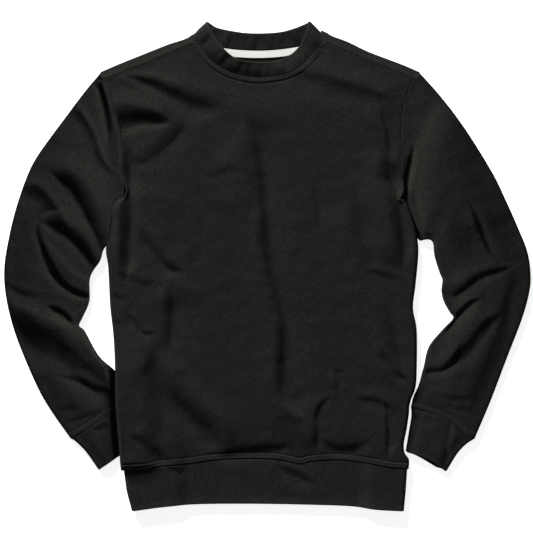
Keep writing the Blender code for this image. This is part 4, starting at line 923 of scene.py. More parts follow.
def over_shoulder(place, seam, wall):
    """Outer and inner points of one column of the back, over the shoulder's edge to the forward seam."""
    edge_height = SHOULDER_HEIGHT - SHOULDER_FALL
    turned = bend(place[1], 0.0, 1, 0.0, edge_height, SHOULDER_ROUND, wall, ROUND_ANGLES[1:])
    share = FORWARD_SHARES[:, None]
    way = (1 - share) * place + share * (seam - [0.0, SEAM_OVERLAP])
    columns = []
    for points, depth in zip(turned, (0.0, wall)):
        rounded = np.column_stack([np.full(ROUND_CELLS, place[0]), points[:, [0, 2]]])
        forward = np.column_stack([way, SHOULDER_HEIGHT + FORWARD_HEIGHTS - depth])
        columns.append(np.vstack([rounded, forward]))
    return columns


def make_back():
    """The back, from its turned-under sides and over the shoulders to the forward seams."""
    wall = size("fleece_wall")
    shoulder, neck, columns = top_columns(BACK_CELL)
    lines = [points_at(side.shoulder_line, shoulder) - [0.0, SHOULDER_ROUND] for side in SIDES]
    neck_line = points_at([lines[0][-1]] + BACK_NECK + [lines[1][-1]], neck)
    edge = joined(lines[0], neck_line, lines[1][::-1])
    below = shares(SIDE_LENGTH, BACK_CELL, start=12)
    above = np.append(shares(ARMHOLE_LENGTH, BACK_CELL, end=12), SHOULDER_TIP_ROW)
    plan = body_plan(BACK_INSET, below, above, columns, edge)
    x, y = plan[..., 0], plan[..., 1]
    from_rim = np.minimum(np.minimum(*inside_sides(x, y)), np.minimum(y - HEM_Y, HIDDEN_TOP - y))
    base = np.maximum(back_base(x, y, wall), hidden_relief(x, y) * ramp(from_rim, HIDDEN_CALM))
    outer, inner = with_heights(plan, base), with_heights(plan, base + wall)

    seams = [points_at(side.shoulder_seam, shoulder) for side in SIDES]
    over_outer = np.repeat(outer[-1:], ROUND_CELLS + len(FORWARD_SHARES), axis=0)
    over_inner = over_outer.copy()
    for first, seam in ((0, seams[0]), (len(edge) - len(shoulder), seams[1][::-1])):
        for k, end in enumerate(seam, first):
            over_outer[:, k], over_inner[:, k] = over_shoulder(plan[-1, k], end, wall)
    middle = (np.concatenate([outer, over_outer]), np.concatenate([inner, over_inner]))

    # back again under itself along the turned-under strips, where its inner face lies outside
    low, high = levels(wall)[1], levels(wall)[2] + wall
    heights = np.full(len(middle[0]), high)
    outward = (high - low) / 2
    strips = [turned_under(side, middle[0][:, end, :2], heights, low, outward, BACK_INSET, wall)[::-1]
              for side, end in ((LEFT, 0), (RIGHT, -1))]
    grids, present = with_sides(middle, strips, len(below))
    over_neck = top_slices(shoulder, neck)[1]
    present[len(plan) - 1:, over_neck.start:over_neck.stop - 1] = False
    wear = np.zeros(grids[0].shape[:2])
    return build_wall("back_body", *grids, present, attributes=[("wear", wear, wear)]), grids


# ---------------------------------------------------------------------------------- ribbed bands


def evened(outer, inner, count):
    """A closed section's outer and inner points, spread evenly along the outer ones."""
    outer, inner = np.vstack([outer, outer[:1]]), np.vstack([inner, inner[:1]])
    length = lengths_along(outer)
    wanted = np.linspace(0.0, length[-1], count + 1)[:-1]
    return spaced(wanted, length, outer), spaced(wanted, length, inner)


def rolled_end(outer, inner, from_end):
    """Draws the two faces of a wall together over its last stretch, so that its folded end is round."""
    half = (outer - inner) / 2
    middle = (outer + inner) / 2
    share = np.clip(1 - from_end / END_RADIUS, 0.0, 1.0)
    full = np.sqrt(np.maximum(1 - share**2, END_LEAST))
    return middle + half * full, middle - half * full


def rib_count(length):
    """How many ribs fit a length."""
    return round(length / size("rib_pitch"))


def rib_piece(name, outer, inner, v, depth, lowest=-np.inf):
    """A band with a rolled end, in rings at the shares v of its depth. Its points are marked for the ribs."""
    outer, inner = rolled_end(outer, inner, ((1 - v) * depth)[:, None, None])
    for grid in (outer, inner):
        grid[..., 2] = np.maximum(grid[..., 2], lowest)
    from_seam = v * depth
    show = ramp(from_seam, RIBS_START) * ramp(depth - from_seam, RIBS_END)
    # lighter just inside the folded end: rubbing wear and a painted highlight on the rim
    rim = np.exp(-((depth - from_seam - RIM_WEAR_AND_HIGHLIGHT) / RIM_WEAR_AND_HIGHLIGHT_WIDTH) ** 2)
    turn = np.arange(outer.shape[1]) / CELLS_A_RIB
    marks = [("rib", turn), ("rib_show", show[:, None]), ("wear", rim[:, None])]
    attributes = []
    for label, values in marks:
        spread = np.broadcast_to(values, outer.shape[:2])
        attributes.append((label, spread, spread))
    return build_wall(name, outer, inner, ring=True, attributes=attributes), (outer, inner)


def ribbed(name, outer, inner, v, depth):
    """A ribbed band from rings of points, spread over as many ribs as fit round its first ring."""
    cells = rib_count(lengths_along(np.vstack([outer[0], outer[0][:1]]))[-1]) * CELLS_A_RIB
    rings = [evened(out, ins, cells) for out, ins in zip(outer, inner)]
    outer, inner = (np.array(grid) for grid in zip(*rings))
    return rib_piece(name, outer, inner, v, depth)


def hem_section(left_x, right_x, tops, wall):
    """Outer and inner points once round the hem band, from the left seam over the front to the back.

    The second coordinate of each is the place along the hem seam that it hangs from, not yet its y.
    """
    low = levels(wall)
    inset = SIDE_ROUND
    left_fold, right_fold = left_x + inset, right_x - inset
    left_turn, right_turn = left_fold + HEM_BACK_INSET, right_fold - HEM_BACK_INSET
    left_seam, right_seam = left_x + LEFT.tuck, right_x - RIGHT.tuck
    seam_half = (low[1] + wall) / 2
    back_half = (low[2] + wall - low[1]) / 2
    cells = len(tops) - 1

    def layer(start, end, count, below, faces_down, hangs_from=None):
        """A flat run over the undersides below, with its outer face down or up."""
        x = np.linspace(start, end, count + 1)
        lower = np.stack(np.broadcast_arrays(x, x if hangs_from is None else hangs_from, below), axis=1)
        upper = lower + [0.0, 0.0, wall]
        return (lower, upper) if faces_down else (upper, lower)

    def turned(centre, hangs_from, side, bottom, top, outward):
        """A rounded edge between two runs, without their own points."""
        return bend(centre, hangs_from, side, bottom, top, outward, wall, ROUND_ANGLES[1:-1])

    def reverse(pair):
        """The same points in the other direction."""
        return pair[0][::-1], pair[1][::-1]

    def swap(pair):
        """The inner points as the outer ones."""
        return pair[1], pair[0]

    back_x = np.linspace(right_turn, left_turn, cells + 1)
    runs = [
        layer(left_seam, left_fold, TUCK_CELLS, low[0], True, left_fold),
        turned(left_fold, left_fold, -1, low[0], tops[0], inset),
        layer(left_fold, right_fold, cells, tops - wall, False),
        reverse(turned(right_fold, right_fold, 1, low[0], tops[-1], inset)),
        layer(right_fold, right_seam, TUCK_CELLS, low[0], True, right_fold),
        turned(right_seam, right_fold, -1, low[0], low[1] + wall, seam_half),
        layer(right_seam, right_turn, TUCK_CELLS, low[1], False, right_fold),
        swap(turned(right_turn, right_fold, 1, low[1], low[2] + wall, back_half)),
        layer(right_turn, left_turn, cells, back_base(back_x, HEM_Y, wall), True),
        reverse(swap(turned(left_turn, left_fold, -1, low[1], low[2] + wall, back_half))),
        layer(left_turn, left_seam, TUCK_CELLS, low[1], False, left_fold),
        reverse(turned(left_seam, left_fold, 1, low[0], low[1] + wall, seam_half)),
    ]
    return [np.vstack([run[k] for run in runs]) for k in (0, 1)]


def tuck_in(section, drop):
    """Draws a closed section in by a drop from its outer face, as a seam allowance inside its neighbour."""
    outer, inner = section
    inward = (inner - outer) * [ALLOWANCE_SLANT, ALLOWANCE_SLANT, 1.0]
    inward /= np.maximum(np.linalg.norm(inward, axis=1), TINY)[:, None]
    outer += inward * drop
    inner += inward * drop * 0.5


def make_hem():
    """The hem band: four layers at its sides, as the body's, with a rolled lower end."""
    wall = size("rib_wall")
    seam, line = smooth_curve(HEM_SEAM), smooth_curve(HEM_LINE)
    down = shares(HEM_DEPTH, HEM_CELL, **FINE_ENDS)
    down = np.concatenate([[-ALLOWANCE / HEM_DEPTH], down])
    sections = []
    for v in down:
        left_x, right_x = (np.interp(v, [0, 0.5, 1], [place[0] for place in side])
                           for side in (HEM_SIDE_LEFT, HEM_SIDE_RIGHT))
        x = np.linspace(left_x + SIDE_ROUND, right_x - SIDE_ROUND, HEM_COLUMNS + 1)
        y = (1 - v) * np.interp(x, seam[:, 0], seam[:, 1]) + v * np.interp(x, line[:, 0], line[:, 1])
        base, least = front_base(x, HEM_Y, wall)
        dip = -HEM_DIP * (1 - ramp(v * HEM_DEPTH, BAND_DIP))
        edge = HEM_EDGE_RISE * ramp(v * HEM_DEPTH, (HEM_DEPTH - HEM_EDGE[0], HEM_DEPTH - HEM_EDGE[1]))
        folds = relief(x, y, BODY_FOLDS) * ramp(np.minimum(x - left_x, right_x - x), FLAT_RIM)
        section = hem_section(left_x, right_x, settle(base + folds, least) + (dip + edge), wall)
        for points in section:
            seam_y = np.interp(points[:, 1], seam[:, 0], seam[:, 1])
            line_y = np.interp(points[:, 0], line[:, 0], line[:, 1])
            points[:, 1] = (1 - v) * seam_y + v * line_y
            points[:, 2] += lift(points[:, 0], points[:, 1])
        if v < 0:
            tuck_in(section, ALLOWANCE_DROP)
        sections.append(section)
    outer, inner = (np.array(grid) for grid in zip(*sections))
    return ribbed("hem_rib", outer, inner, down, HEM_DEPTH)


# ---------------------------------------------------------------------------------- sleeves and cuffs


def tube_rings(plan, tops, edges, wall, below, mouth=0.0):
    """Outer and inner points round each ring of a flattened tube.

    plan and tops are rows of its upper run, below the heights of its underside, and edges the two outlines
    that its rounded edges reach. mouth shifts the places of the underside.
    """
    grids = [], []
    under = plan + mouth
    for r, (places, heights) in enumerate(zip(plan, tops)):
        top = np.column_stack([places, heights])
        base = np.column_stack([under[r, ::-1], below[r, ::-1]])
        rounds = []
        for k in (0, -1):
            out = edges[k][r] - places[k]
            reach = np.linalg.norm(out)
            turned = bend(0.0, 0.0, 1, 0.0, heights[k], reach, wall, ROUND_ANGLES[1:-1])
            rounds.append([np.column_stack([places[k] + points[:, :1] * out / reach, points[:, 2]])
                           for points in turned])
        for k, depth in enumerate((0.0, wall)):
            grids[k].append(np.vstack([top - [0, 0, depth], rounds[1][k][::-1], base + [0, 0, depth],
                                       rounds[0][k]]))
    return np.array(grids[0]), np.array(grids[1])


def under_body(x, y):
    """The most height a sleeve or cuff may have where the body's left side lies on it."""
    outside = edge_x(LEFT, y) - FREE_MARGIN - x
    return CUFF_FLAT + np.maximum(outside, 0.0) * FREE_SLOPE + NO_LIMIT * ramp(y, FREE_ABOVE)


def bow(run, u, start, end):
    """How far each point of a run lies from its place on the straight line from start to end."""
    return run - (start + u[:, None] * (end - start))


def tube_plan(first, last, edges, rounding, u, v):
    """Places of a flattened tube's upper run from its first end to its last, inside its two edges.

    first and last are the runs across its ends. The first is met exactly, the last in its curve alone.
    """
    across = edges[1] - edges[0]
    across /= np.linalg.norm(across, axis=1)[:, None]
    starts = edges[0] + across * rounding
    ends = edges[1] - across * rounding
    first_bow = bow(first, u, starts[0], ends[0])
    last_bow = bow(last, u, last[0], last[-1])
    plan = []
    for r, share in enumerate(v):
        row = starts[r] + u[:, None] * (ends[r] - starts[r])
        first_left = 1 - ease(share / FIRST_BOW_SHARE)
        plan.append(row + first_bow * first_left + last_bow * ease((share - LAST_BOW_START) / LAST_BOW_SHARE))
    return np.array(plan)


def with_allowance(outer, inner):
    """Adds a ring before the first one that lies inside the neighbouring piece."""
    middle = outer[0, :, 2].max() / 2
    rings = []
    for grid in (outer, inner):
        step = grid[0] - grid[1]
        step[:, 2] = 0.0
        step /= np.maximum(np.linalg.norm(step, axis=1), TINY)[:, None]
        ring = grid[0] + step * ALLOWANCE
        ring[:, 2] = middle + (ring[:, 2] - middle) * (1 - ALLOWANCE_DROP / middle)
        rings.append(np.concatenate([ring[None], grid]))
    return rings


def make_sleeve(name, arm):
    """A sleeve from its armhole seam to its cuff seam."""
    wall = size("fleece_wall")
    armhole = armhole_points(arm.side, shares(ARMHOLE_LENGTH, ARMHOLE_CELL))[::-1]
    u = lengths_along(armhole)
    u = u / u[-1]
    v = shares(SLEEVE_LENGTH, SLEEVE_CELL, start=12, end=14)
    edges = [points_at(outline, v) for outline in arm.outlines]
    plan = tube_plan(armhole, points_at(arm.cuff_seam, u), edges, SLEEVE_ROUNDING, u, v)
    x, y = plan[..., 0], plan[..., 1]
    width = np.linalg.norm(plan[:, -1] - plan[:, 0], axis=1)[:, None]
    from_edge = np.minimum(u, 1 - u)[None] * width
    fullness = ease(v / FILLED_AFTER) * ease((1 - v) / FILLED_UNTIL)
    base = SHOULDER_HEIGHT + SLEEVE_CROWN * fullness[:, None] * ease(from_edge / CROWN_REACH)
    calm = ramp(v * SLEEVE_LENGTH, SEAM_CALM) * ramp((1 - v) * SLEEVE_LENGTH, SLEEVE_END_CALM)
    tops = base + relief(x, y, arm.folds) * ramp(from_edge, SLEEVE_RIM) * calm[:, None]
    if arm.under_body:
        tops = np.minimum(tops, under_body(x, y))
    tops = settle(tops, 2 * wall + LEAST_AIR)
    ridge = seam_ridge(x, y, arm.cuff_seam, CUFF_GROOVE)
    tops = tops + ridge + armhole_valley(x, y)
    below = hidden_relief(x, y) * ramp(from_edge, HIDDEN_RIM) * (fullness > 0)[:, None]
    outer, inner = with_allowance(*tube_rings(plan, tops, edges, wall, np.minimum(below, tops - 2 * wall)))
    # the raised allowance beside the cuff seam is made lighter: rubbing wear and a painted highlight
    wear = np.zeros(outer.shape[:2])
    wear[1:, :len(u)] = np.clip(ridge, 0, 1)
    return build_wall(name, outer, inner, ring=True, attributes=[("wear", wear, 0 * wear)]), (outer, inner)


def make_cuff(name, arm):
    """A cuff from its seam to its open end."""
    wall = size("rib_wall")
    v = shares(CUFF_DEPTH, CUFF_CELL, **FINE_ENDS)
    edges = [points_at(outline, v) for outline in arm.cuff_outlines]
    u = np.linspace(0.0, 1.0, CUFF_COLUMNS + 1)
    across = edges[1][0] - edges[0][0]
    rim = CUFF_ROUNDING * across / np.linalg.norm(across)
    seam = points_at(arm.cuff_seam, u)
    first = edges[0][0] + rim + u[:, None] * (across - 2 * rim) + bow(seam, u, seam[0], seam[-1])
    plan = tube_plan(first, points_at(arm.cuff_end, u), edges, CUFF_ROUNDING, u, v)
    x, y = plan[..., 0], plan[..., 1]
    crown = CUFF_CROWN * ease(4 * np.minimum(u, 1 - u))
    dip = -CUFF_DIP * (1 - ramp((v * CUFF_DEPTH)[:, None], BAND_DIP))
    tops = CUFF_EDGE_HEIGHT + crown + relief(x, y, arm.cuff_folds) + dip
    if arm.under_body:
        tops = np.minimum(tops, under_body(x, y))
    down = plan[-1] - plan[-2]
    down /= np.linalg.norm(down, axis=1)[:, None]
    open_share = ease(MOUTH_ENDS[0] * u) * ease(MOUTH_ENDS[1] * (1 - u))
    shift = arm.mouth * ramp(v, CUFF_OPENS)[:, None, None] * open_share[None, :, None] * down[None]
    outer, inner = with_allowance(*tube_rings(plan, tops, edges, wall, 0 * tops, shift))
    return ribbed(name, outer, inner, np.concatenate([[-ALLOWANCE / CUFF_DEPTH], v]), CUFF_DEPTH)


# ---------------------------------------------------------------------------------- the neck


def make_neckband():
    """The neckband, standing on its seam all round and rolled at its edge."""
    wall = size("band_wall")
    seams, edges = (smooth_curve(points, closed=True, steps=12) for points in zip(*NECKBAND))
    seams, edges = (np.vstack([run, run[:1]]) for run in (seams, edges))
    length = lengths_along((seams + edges) / 2)
    wanted = np.linspace(0.0, length[-1], rib_count(length[-1]) * CELLS_A_RIB + 1)[:-1]
    seams, edges = (spaced(wanted, length, run) for run in (seams, edges))
    middles = (seams + edges) / 2
    along = np.roll(middles, -FACING_CELLS, axis=0) - np.roll(middles, FACING_CELLS, axis=0)
    rise = edges - seams
    facing = np.cross(rise / np.linalg.norm(rise, axis=1)[:, None], along)
    facing /= np.linalg.norm(facing, axis=1)[:, None]
    v = shares(BAND_DEPTH, BAND_CELL, start=3, end=2.4, fine=0.6)
    v = np.concatenate([[-ALLOWANCE / BAND_DEPTH], v])
    ripple = sum(height * np.sin(wanted * 2 * np.pi / wave + phase) for height, wave, phase in BAND_RIPPLES)
    outer, inner = [], []
    for up in v:
        centre = seams + up * rise
        belly = np.sin(np.pi * np.clip(up, 0.0, 1.0)) * ripple
        swell = BAND_SWELL * np.sin(np.pi * np.clip(up / BAND_SWELL_TOP, 0.0, 1.0)) + belly
        outer.append(centre + facing * (wall / 2 + swell)[:, None])
        inner.append(centre - facing * (wall / 2 - belly)[:, None])
    return rib_piece("neck_rib", np.array(outer), np.array(inner), v, BAND_DEPTH, BAND_LOWEST)


def make_tape():
    """The tape, laid flat on the back's inner face below the neck seam."""
    wall = size("tape_wall")
    low = size("fleece_wall") + TAPE_GAP
    top = points_at(TAPE_ENDS[:1] + BACK_NECK[1:6] + TAPE_ENDS[1:], shares(TAPE_LENGTH, TAPE_CELL))
    top = top - [0.0, TAPE_BELOW_SEAM]
    rows = shares(TAPE_WIDTH, TAPE_ROW, start=1.0, end=1.0, fine=0.5)
    outer, inner = (np.array([np.column_stack([top - [0.0, TAPE_WIDTH * v], np.full(len(top), z)])
                              for v in rows]) for z in (low + wall, low))
    return build_wall("neck_tape_strip", outer, inner)


# ---------------------------------------------------------------------------------- materials


def linear(code):
    """Linear colour of an sRGB hex code such as #1f1f1d, with full alpha."""
    parts = [int(code[k:k + 2], 16) / 255 for k in (1, 3, 5)]
    return tuple(p / 12.92 if p <= 0.04045 else ((p + 0.055) / 1.055) ** 2.4 for p in parts) + (1.0,)


def add_node(tree, kind, settings=None, **inputs):
    """Adds a node. settings are its properties; inputs go to its sockets, as values or as other outputs."""
    node = tree.nodes.new(kind)
    for name, value in (settings or {}).items():
        setattr(node, name, value)
    for name, value in inputs.items():
        key = int(name[1:]) if name[0] == "_" and name[1:].isdigit() else name.replace("_", " ")
        socket = node.inputs[key]
        if isinstance(value, bpy.types.NodeSocket):
            tree.links.new(value, socket)
        else:
            socket.default_value = value
    return node


def new_material(name):
    """An empty material and its node tree."""
    made = bpy.data.materials.new(name)
    made.use_nodes = True
    made.node_tree.nodes.clear()
    return made, made.node_tree


def finished_material(made, level=None, **inputs):
    """Ends a material with its shader and its output. level is its specular level, unless the usual one."""
    shader = add_node(made.node_tree, "ShaderNodeBsdfPrincipled", **inputs)
    if level is not None:
        shader.inputs["Specular IOR Level"].default_value = level
    add_node(made.node_tree, "ShaderNodeOutputMaterial", Surface=shader.outputs["BSDF"])
    return made


def pile(tree, weave, wave_share):
    """Height of a napped knit, its loops under a random pile, and the pile alone, each as an output."""
    place = add_node(tree, "ShaderNodeTexCoord")
    flat = add_node(tree, "ShaderNodeUVMap", {"uv_map": "flat_cut"})
    slow = add_node(tree, "ShaderNodeTexNoise", Vector=place.outputs["Object"], Scale=310.0, Detail=3.0,
                    Roughness=0.65)
    quick = add_node(tree, "ShaderNodeTexNoise", Vector=place.outputs["Object"], Scale=640.0, Detail=2.0,
                     Roughness=0.6)
    loops = add_node(tree, "ShaderNodeTexWave", {"wave_type": "BANDS", "bands_direction": "X"},
                     Vector=flat.outputs["UV"], Scale=weave, Distortion=2.0, Detail=1.0)
    both = add_node(tree, "ShaderNodeMath", {"operation": "MULTIPLY_ADD"}, _0=slow.outputs["Fac"], _1=0.8,
                    _2=quick.outputs["Fac"])
    all_of_it = add_node(tree, "ShaderNodeMath", {"operation": "MULTIPLY_ADD"}, _0=loops.outputs["Fac"],
                         _1=wave_share, _2=both.outputs[0])
    return all_of_it.outputs[0], both.outputs[0]


def knit_material(name, dark, light, weave, wave_share, depth):
    """A matt knit of dyed cotton, a little lighter where the pile stands up, and lighter on raised seam
    allowances and folded band rims: rubbing wear and a painted highlight.
    """
    made, tree = new_material(name)
    height, mottle = pile(tree, weave, wave_share)
    spread = add_node(tree, "ShaderNodeMapRange", Value=mottle, From_Min=0.62, From_Max=1.18)
    # lightens raised seam allowances and band rims: rubbing wear and a painted highlight
    ridge_wear_and_highlight = add_node(tree, "ShaderNodeAttribute", {"attribute_name": "wear"})
    mottle_with_wear_and_highlight = add_node(tree, "ShaderNodeMath", {"operation": "MULTIPLY_ADD"}, _0=ridge_wear_and_highlight.outputs["Fac"], _1=0.4,
                    _2=spread.outputs["Result"])
    tint = add_node(tree, "ShaderNodeMix", {"data_type": "RGBA"}, _0=mottle_with_wear_and_highlight.outputs[0], _6=dark, _7=light)
    bump = add_node(tree, "ShaderNodeBump", Strength=1.0, Distance=depth, Height=height)
    return finished_material(made, 0.04, Base_Color=tint.outputs["Result"], Normal=bump.outputs["Normal"],
                             Roughness=0.95, IOR=1.45)


def brushed_cotton_fleece(colors):
    """Cotton fleece, jersey side out and brushed: matt, finely mottled, with no shine.

    Its loops stand in columns 1.3 mm apart. Its pile clumps over less than can show, and is drawn at 1.5 to
    3 mm.
    """
    return knit_material("brushed_cotton_fleece", colors.fleece_dark, colors.fleece_light, weave=242.0,
                         wave_share=0.12, depth=0.0003)


def cotton_rib_knit(colors):
    """Doubled cotton rib: matt, denser and smoother than the fleece, its loops 1.1 mm apart."""
    return knit_material("cotton_rib_knit", colors.rib_dark, colors.rib_light, weave=285.0, wave_share=0.15,
                         depth=0.00025)


def polyester_thread(colors):
    """Spun polyester thread: the same black as the cloth, smoother and so a little brighter."""
    made, tree = new_material("polyester_thread")
    place = add_node(tree, "ShaderNodeTexCoord")
    plies = add_node(tree, "ShaderNodeTexNoise", Vector=place.outputs["Object"], Scale=1500.0, Detail=1.0)
    tint = add_node(tree, "ShaderNodeMix", {"data_type": "RGBA"}, _0=plies.outputs["Fac"],
                    _6=colors.fleece_light, _7=colors.thread)
    return finished_material(made, 0.15, Base_Color=tint.outputs["Result"], Roughness=0.7)


def cotton_twill_tape(colors):
    """Cotton twill tape: slanting ribs of thread 0.5 mm apart, drawn at 2 mm, which is what can show. Its
    ribs are painted light and painted shade: lighter where threads face up, darker where they turn away.
    """
    made, tree = new_material("cotton_twill_tape")
    flat = add_node(tree, "ShaderNodeUVMap", {"uv_map": "flat_cut"})
    slant = add_node(tree, "ShaderNodeMapping", Vector=flat.outputs["UV"], Rotation=(0.0, 0.0, 0.85))
    weave = add_node(tree, "ShaderNodeTexWave", {"wave_type": "BANDS", "bands_direction": "X"},
                     Vector=slant.outputs["Vector"], Scale=160.0, Distortion=0.4)
    tint = add_node(tree, "ShaderNodeMix", {"data_type": "RGBA"}, _0=weave.outputs["Fac"],
                    _6=colors.tape_dark, _7=colors.tape_light)
    bump = add_node(tree, "ShaderNodeBump", Strength=0.5, Distance=0.0003, Height=weave.outputs["Fac"])
    return finished_material(made, Base_Color=tint.outputs["Result"], Normal=bump.outputs["Normal"],
                             Roughness=0.8)


def floor_material(name, shade, glow):
    """White sweep paper, lit until it shows no shade."""
    made, tree = new_material(name)
    place = add_node(tree, "ShaderNodeTexCoord")
    grain = add_node(tree, "ShaderNodeTexNoise", Vector=place.outputs["Object"], Scale=300.0, Detail=2.0)
    bump = add_node(tree, "ShaderNodeBump", Strength=0.05, Distance=0.0002, Height=grain.outputs["Fac"])
    return finished_material(made, Base_Color=shade, Normal=bump.outputs["Normal"], Roughness=0.9,
                             Emission_Color=shade, Emission_Strength=glow)


# ---------------------------------------------------------------------------------- ribs and stitches


def new_tree(name, sizes):
    """A geometry node tree whose inputs are the named sizes and a material, and the node that gives them."""
    tree = bpy.data.node_groups.new(name, "GeometryNodeTree")
    tree.interface.new_socket("Geometry", in_out="INPUT", socket_type="NodeSocketGeometry")
    for size_name in sizes:
        socket = tree.interface.new_socket(size_name, in_out="INPUT", socket_type="NodeSocketFloat")
        socket.subtype = "DISTANCE"
    tree.interface.new_socket("Material", in_out="INPUT", socket_type="NodeSocketMaterial")
    tree.interface.new_socket("Geometry", in_out="OUTPUT", socket_type="NodeSocketGeometry")
    return tree, add_node(tree, "NodeGroupInput")


def finished_tree(tree, given, last):
    """Ends a tree after its last node: instances made real, and the given material on all of it."""
    real = add_node(tree, "GeometryNodeRealizeInstances", Geometry=last.outputs[0])
    dyed = add_node(tree, "GeometryNodeSetMaterial", Geometry=real.outputs[0],
                    Material=given.outputs["Material"])
    add_node(tree, "NodeGroupOutput", Geometry=dyed.outputs[0])
    return tree


def rib_tree():
    """Geometry nodes that raise the ribs of a knitted band, between the marks its mesh carries."""
    tree, given = new_tree("raise_ribs", ["Rib Depth"])
    turn = add_node(tree, "GeometryNodeInputNamedAttribute", {"data_type": "FLOAT"}, Name="rib")
    show = add_node(tree, "GeometryNodeInputNamedAttribute", {"data_type": "FLOAT"}, Name="rib_show")
    angle = add_node(tree, "ShaderNodeMath", {"operation": "MULTIPLY"}, _0=turn.outputs["Attribute"],
                     _1=2 * np.pi)
    wave = add_node(tree, "ShaderNodeMath", {"operation": "COSINE"}, _0=angle.outputs[0])
    sunk = add_node(tree, "ShaderNodeMath", {"operation": "SUBTRACT"}, _0=wave.outputs[0], _1=1.0)
    half = add_node(tree, "ShaderNodeMath", {"operation": "MULTIPLY"}, _0=sunk.outputs[0],
                    _1=given.outputs["Rib Depth"])
    shown = add_node(tree, "ShaderNodeMath", {"operation": "MULTIPLY"}, _0=half.outputs[0],
                     _1=show.outputs["Attribute"])
    scaled = add_node(tree, "ShaderNodeMath", {"operation": "MULTIPLY"}, _0=shown.outputs[0], _1=0.5)
    normal = add_node(tree, "GeometryNodeInputNormal")
    move = add_node(tree, "ShaderNodeVectorMath", {"operation": "SCALE"}, _0=normal.outputs[0],
                    Scale=scaled.outputs[0])
    moved = add_node(tree, "GeometryNodeSetPosition", Geometry=given.outputs["Geometry"],
                     Offset=move.outputs[0])
    return finished_tree(tree, given, moved)


def stitch_tree():
    """Geometry nodes that lay one thread stitch after another along the edges of a mesh of lines."""
    tree, given = new_tree("lay_stitches", ["Stitch Length", "Stitch Spacing", "Thread Thickness"])
    lines = add_node(tree, "GeometryNodeMeshToCurve", Mesh=given.outputs["Geometry"])
    places = add_node(tree, "GeometryNodeResampleCurve", {"mode": "LENGTH"}, Curve=lines.outputs[0],
                      Length=given.outputs["Stitch Spacing"])
    thread = add_node(tree, "GeometryNodeMeshUVSphere", Segments=6, Rings=5, Radius=0.5)
    scale = add_node(tree, "ShaderNodeCombineXYZ", X=given.outputs["Stitch Length"],
                     Y=given.outputs["Thread Thickness"], Z=given.outputs["Thread Thickness"])
    tangent = add_node(tree, "GeometryNodeInputTangent")
    turned = add_node(tree, "FunctionNodeAlignRotationToVector", {"axis": "X"},
                      Vector=tangent.outputs[0])
    laid = add_node(tree, "GeometryNodeInstanceOnPoints", Points=places.outputs[0],
                    Instance=thread.outputs["Mesh"], Rotation=turned.outputs[0], Scale=scale.outputs[0])
    smooth = add_node(tree, "GeometryNodeSetShadeSmooth", Geometry=laid.outputs[0])
    return finished_tree(tree, given, smooth)


def run_nodes(piece, tree, **inputs):
    """Runs a tree on a piece with the named inputs set, and keeps its result as a plain mesh."""
    modifier = piece.modifiers.new(tree.name, "NODES")
    modifier.node_group = tree
    for item in tree.interface.items_tree:
        if item.item_type == "SOCKET" and item.in_out == "INPUT" and item.name in inputs:
            modifier[item.identifier] = inputs[item.name]
    piece.update_tag()
    graph = bpy.context.evaluated_depsgraph_get()
    graph.update()
    mesh = bpy.data.meshes.new_from_object(piece.evaluated_get(graph))
    if not mesh.polygons:
        raise RuntimeError(f"{tree.name} made no faces for {piece.name}")
    piece.modifiers.remove(modifier)
    piece.data = mesh
    mesh.name = piece.name
    return piece


def lines_mesh(name, runs):
    """A mesh of lines, one for each run of points in millimetres."""
    points, edges = [], []
    for run in runs:
        first = len(points)
        points += (np.asarray(run) * MM).tolist()
        edges += [(first + k, first + k + 1) for k in range(len(run) - 1)]
    mesh = bpy.data.meshes.new(name)
    mesh.from_pydata(points, edges, [])
    return add_object(name, mesh)


# ---------------------------------------------------------------------------------- the panel's settings


def length_property(name, description, default):
    """A length in metres."""
    return FloatProperty(name=name, description=description, default=default, unit="LENGTH")


def angle_property(name, description, degrees):
    """An angle, given in degrees."""
    return FloatProperty(name=name, description=description, default=np.radians(degrees), subtype="ANGLE")


def color_property(name, description, code):
    """A colour, given as its hex code."""
    return FloatVectorProperty(name=name, description=description, subtype="COLOR", size=4, min=0.0, max=1.0,
                               default=linear(code))


class ClothSizes(bpy.types.PropertyGroup):
    """Sizes of the cloth, its seams and its ribs"""

    fleece_wall: length_property("Fleece", "Thickness of the fleece", 0.0018)
    rib_wall: length_property("Rib", "Thickness of the doubled rib", 0.0024)
    band_wall: length_property("Neckband", "Thickness of the neckband", 0.0030)
    tape_wall: length_property("Tape", "Thickness of the neck tape", 0.0010)
    seam_ridge: length_property("Seam ridge", "Height of the doubled seam allowance", 0.0006)
    seam_width: length_property("Seam width", "Width of the stitched-down seam allowance", 0.0080)
    rib_pitch: length_property("Rib spacing", "Distance from one rib to the next", 0.0023)
    rib_depth: length_property("Rib depth", "Depth of the grooves between ribs", 0.0002)


class StitchSizes(bpy.types.PropertyGroup):
    """Sizes of the stitches"""

    length: length_property("Length", "Length of one stitch", 0.0026)
    spacing: length_property("Spacing", "Distance from one stitch to the next", 0.0034)
    thickness: length_property("Thread", "Thickness of the thread", 0.0006)


class FabricColors(bpy.types.PropertyGroup):
    """Colours of the fabrics"""

    fleece_dark: color_property("Fleece, dark", "Fleece where its pile lies down", "#151513")
    fleece_light: color_property("Fleece, light", "Fleece where its pile stands up", "#282826")
    rib_dark: color_property("Rib, dark", "Rib knit where its pile lies down", "#161614")
    rib_light: color_property("Rib, light", "Rib knit where its pile stands up", "#292927")
    thread: color_property("Thread", "Sewing thread", "#343432")
    # the tape's two colours are one white cotton, lit and in painted shade
    tape_light: color_property("Tape, light", "Threads of the tape that face up", "#f4f3ee")
    tape_dark: color_property("Tape, dark", "Threads of the tape that turn away", "#dcdad4")


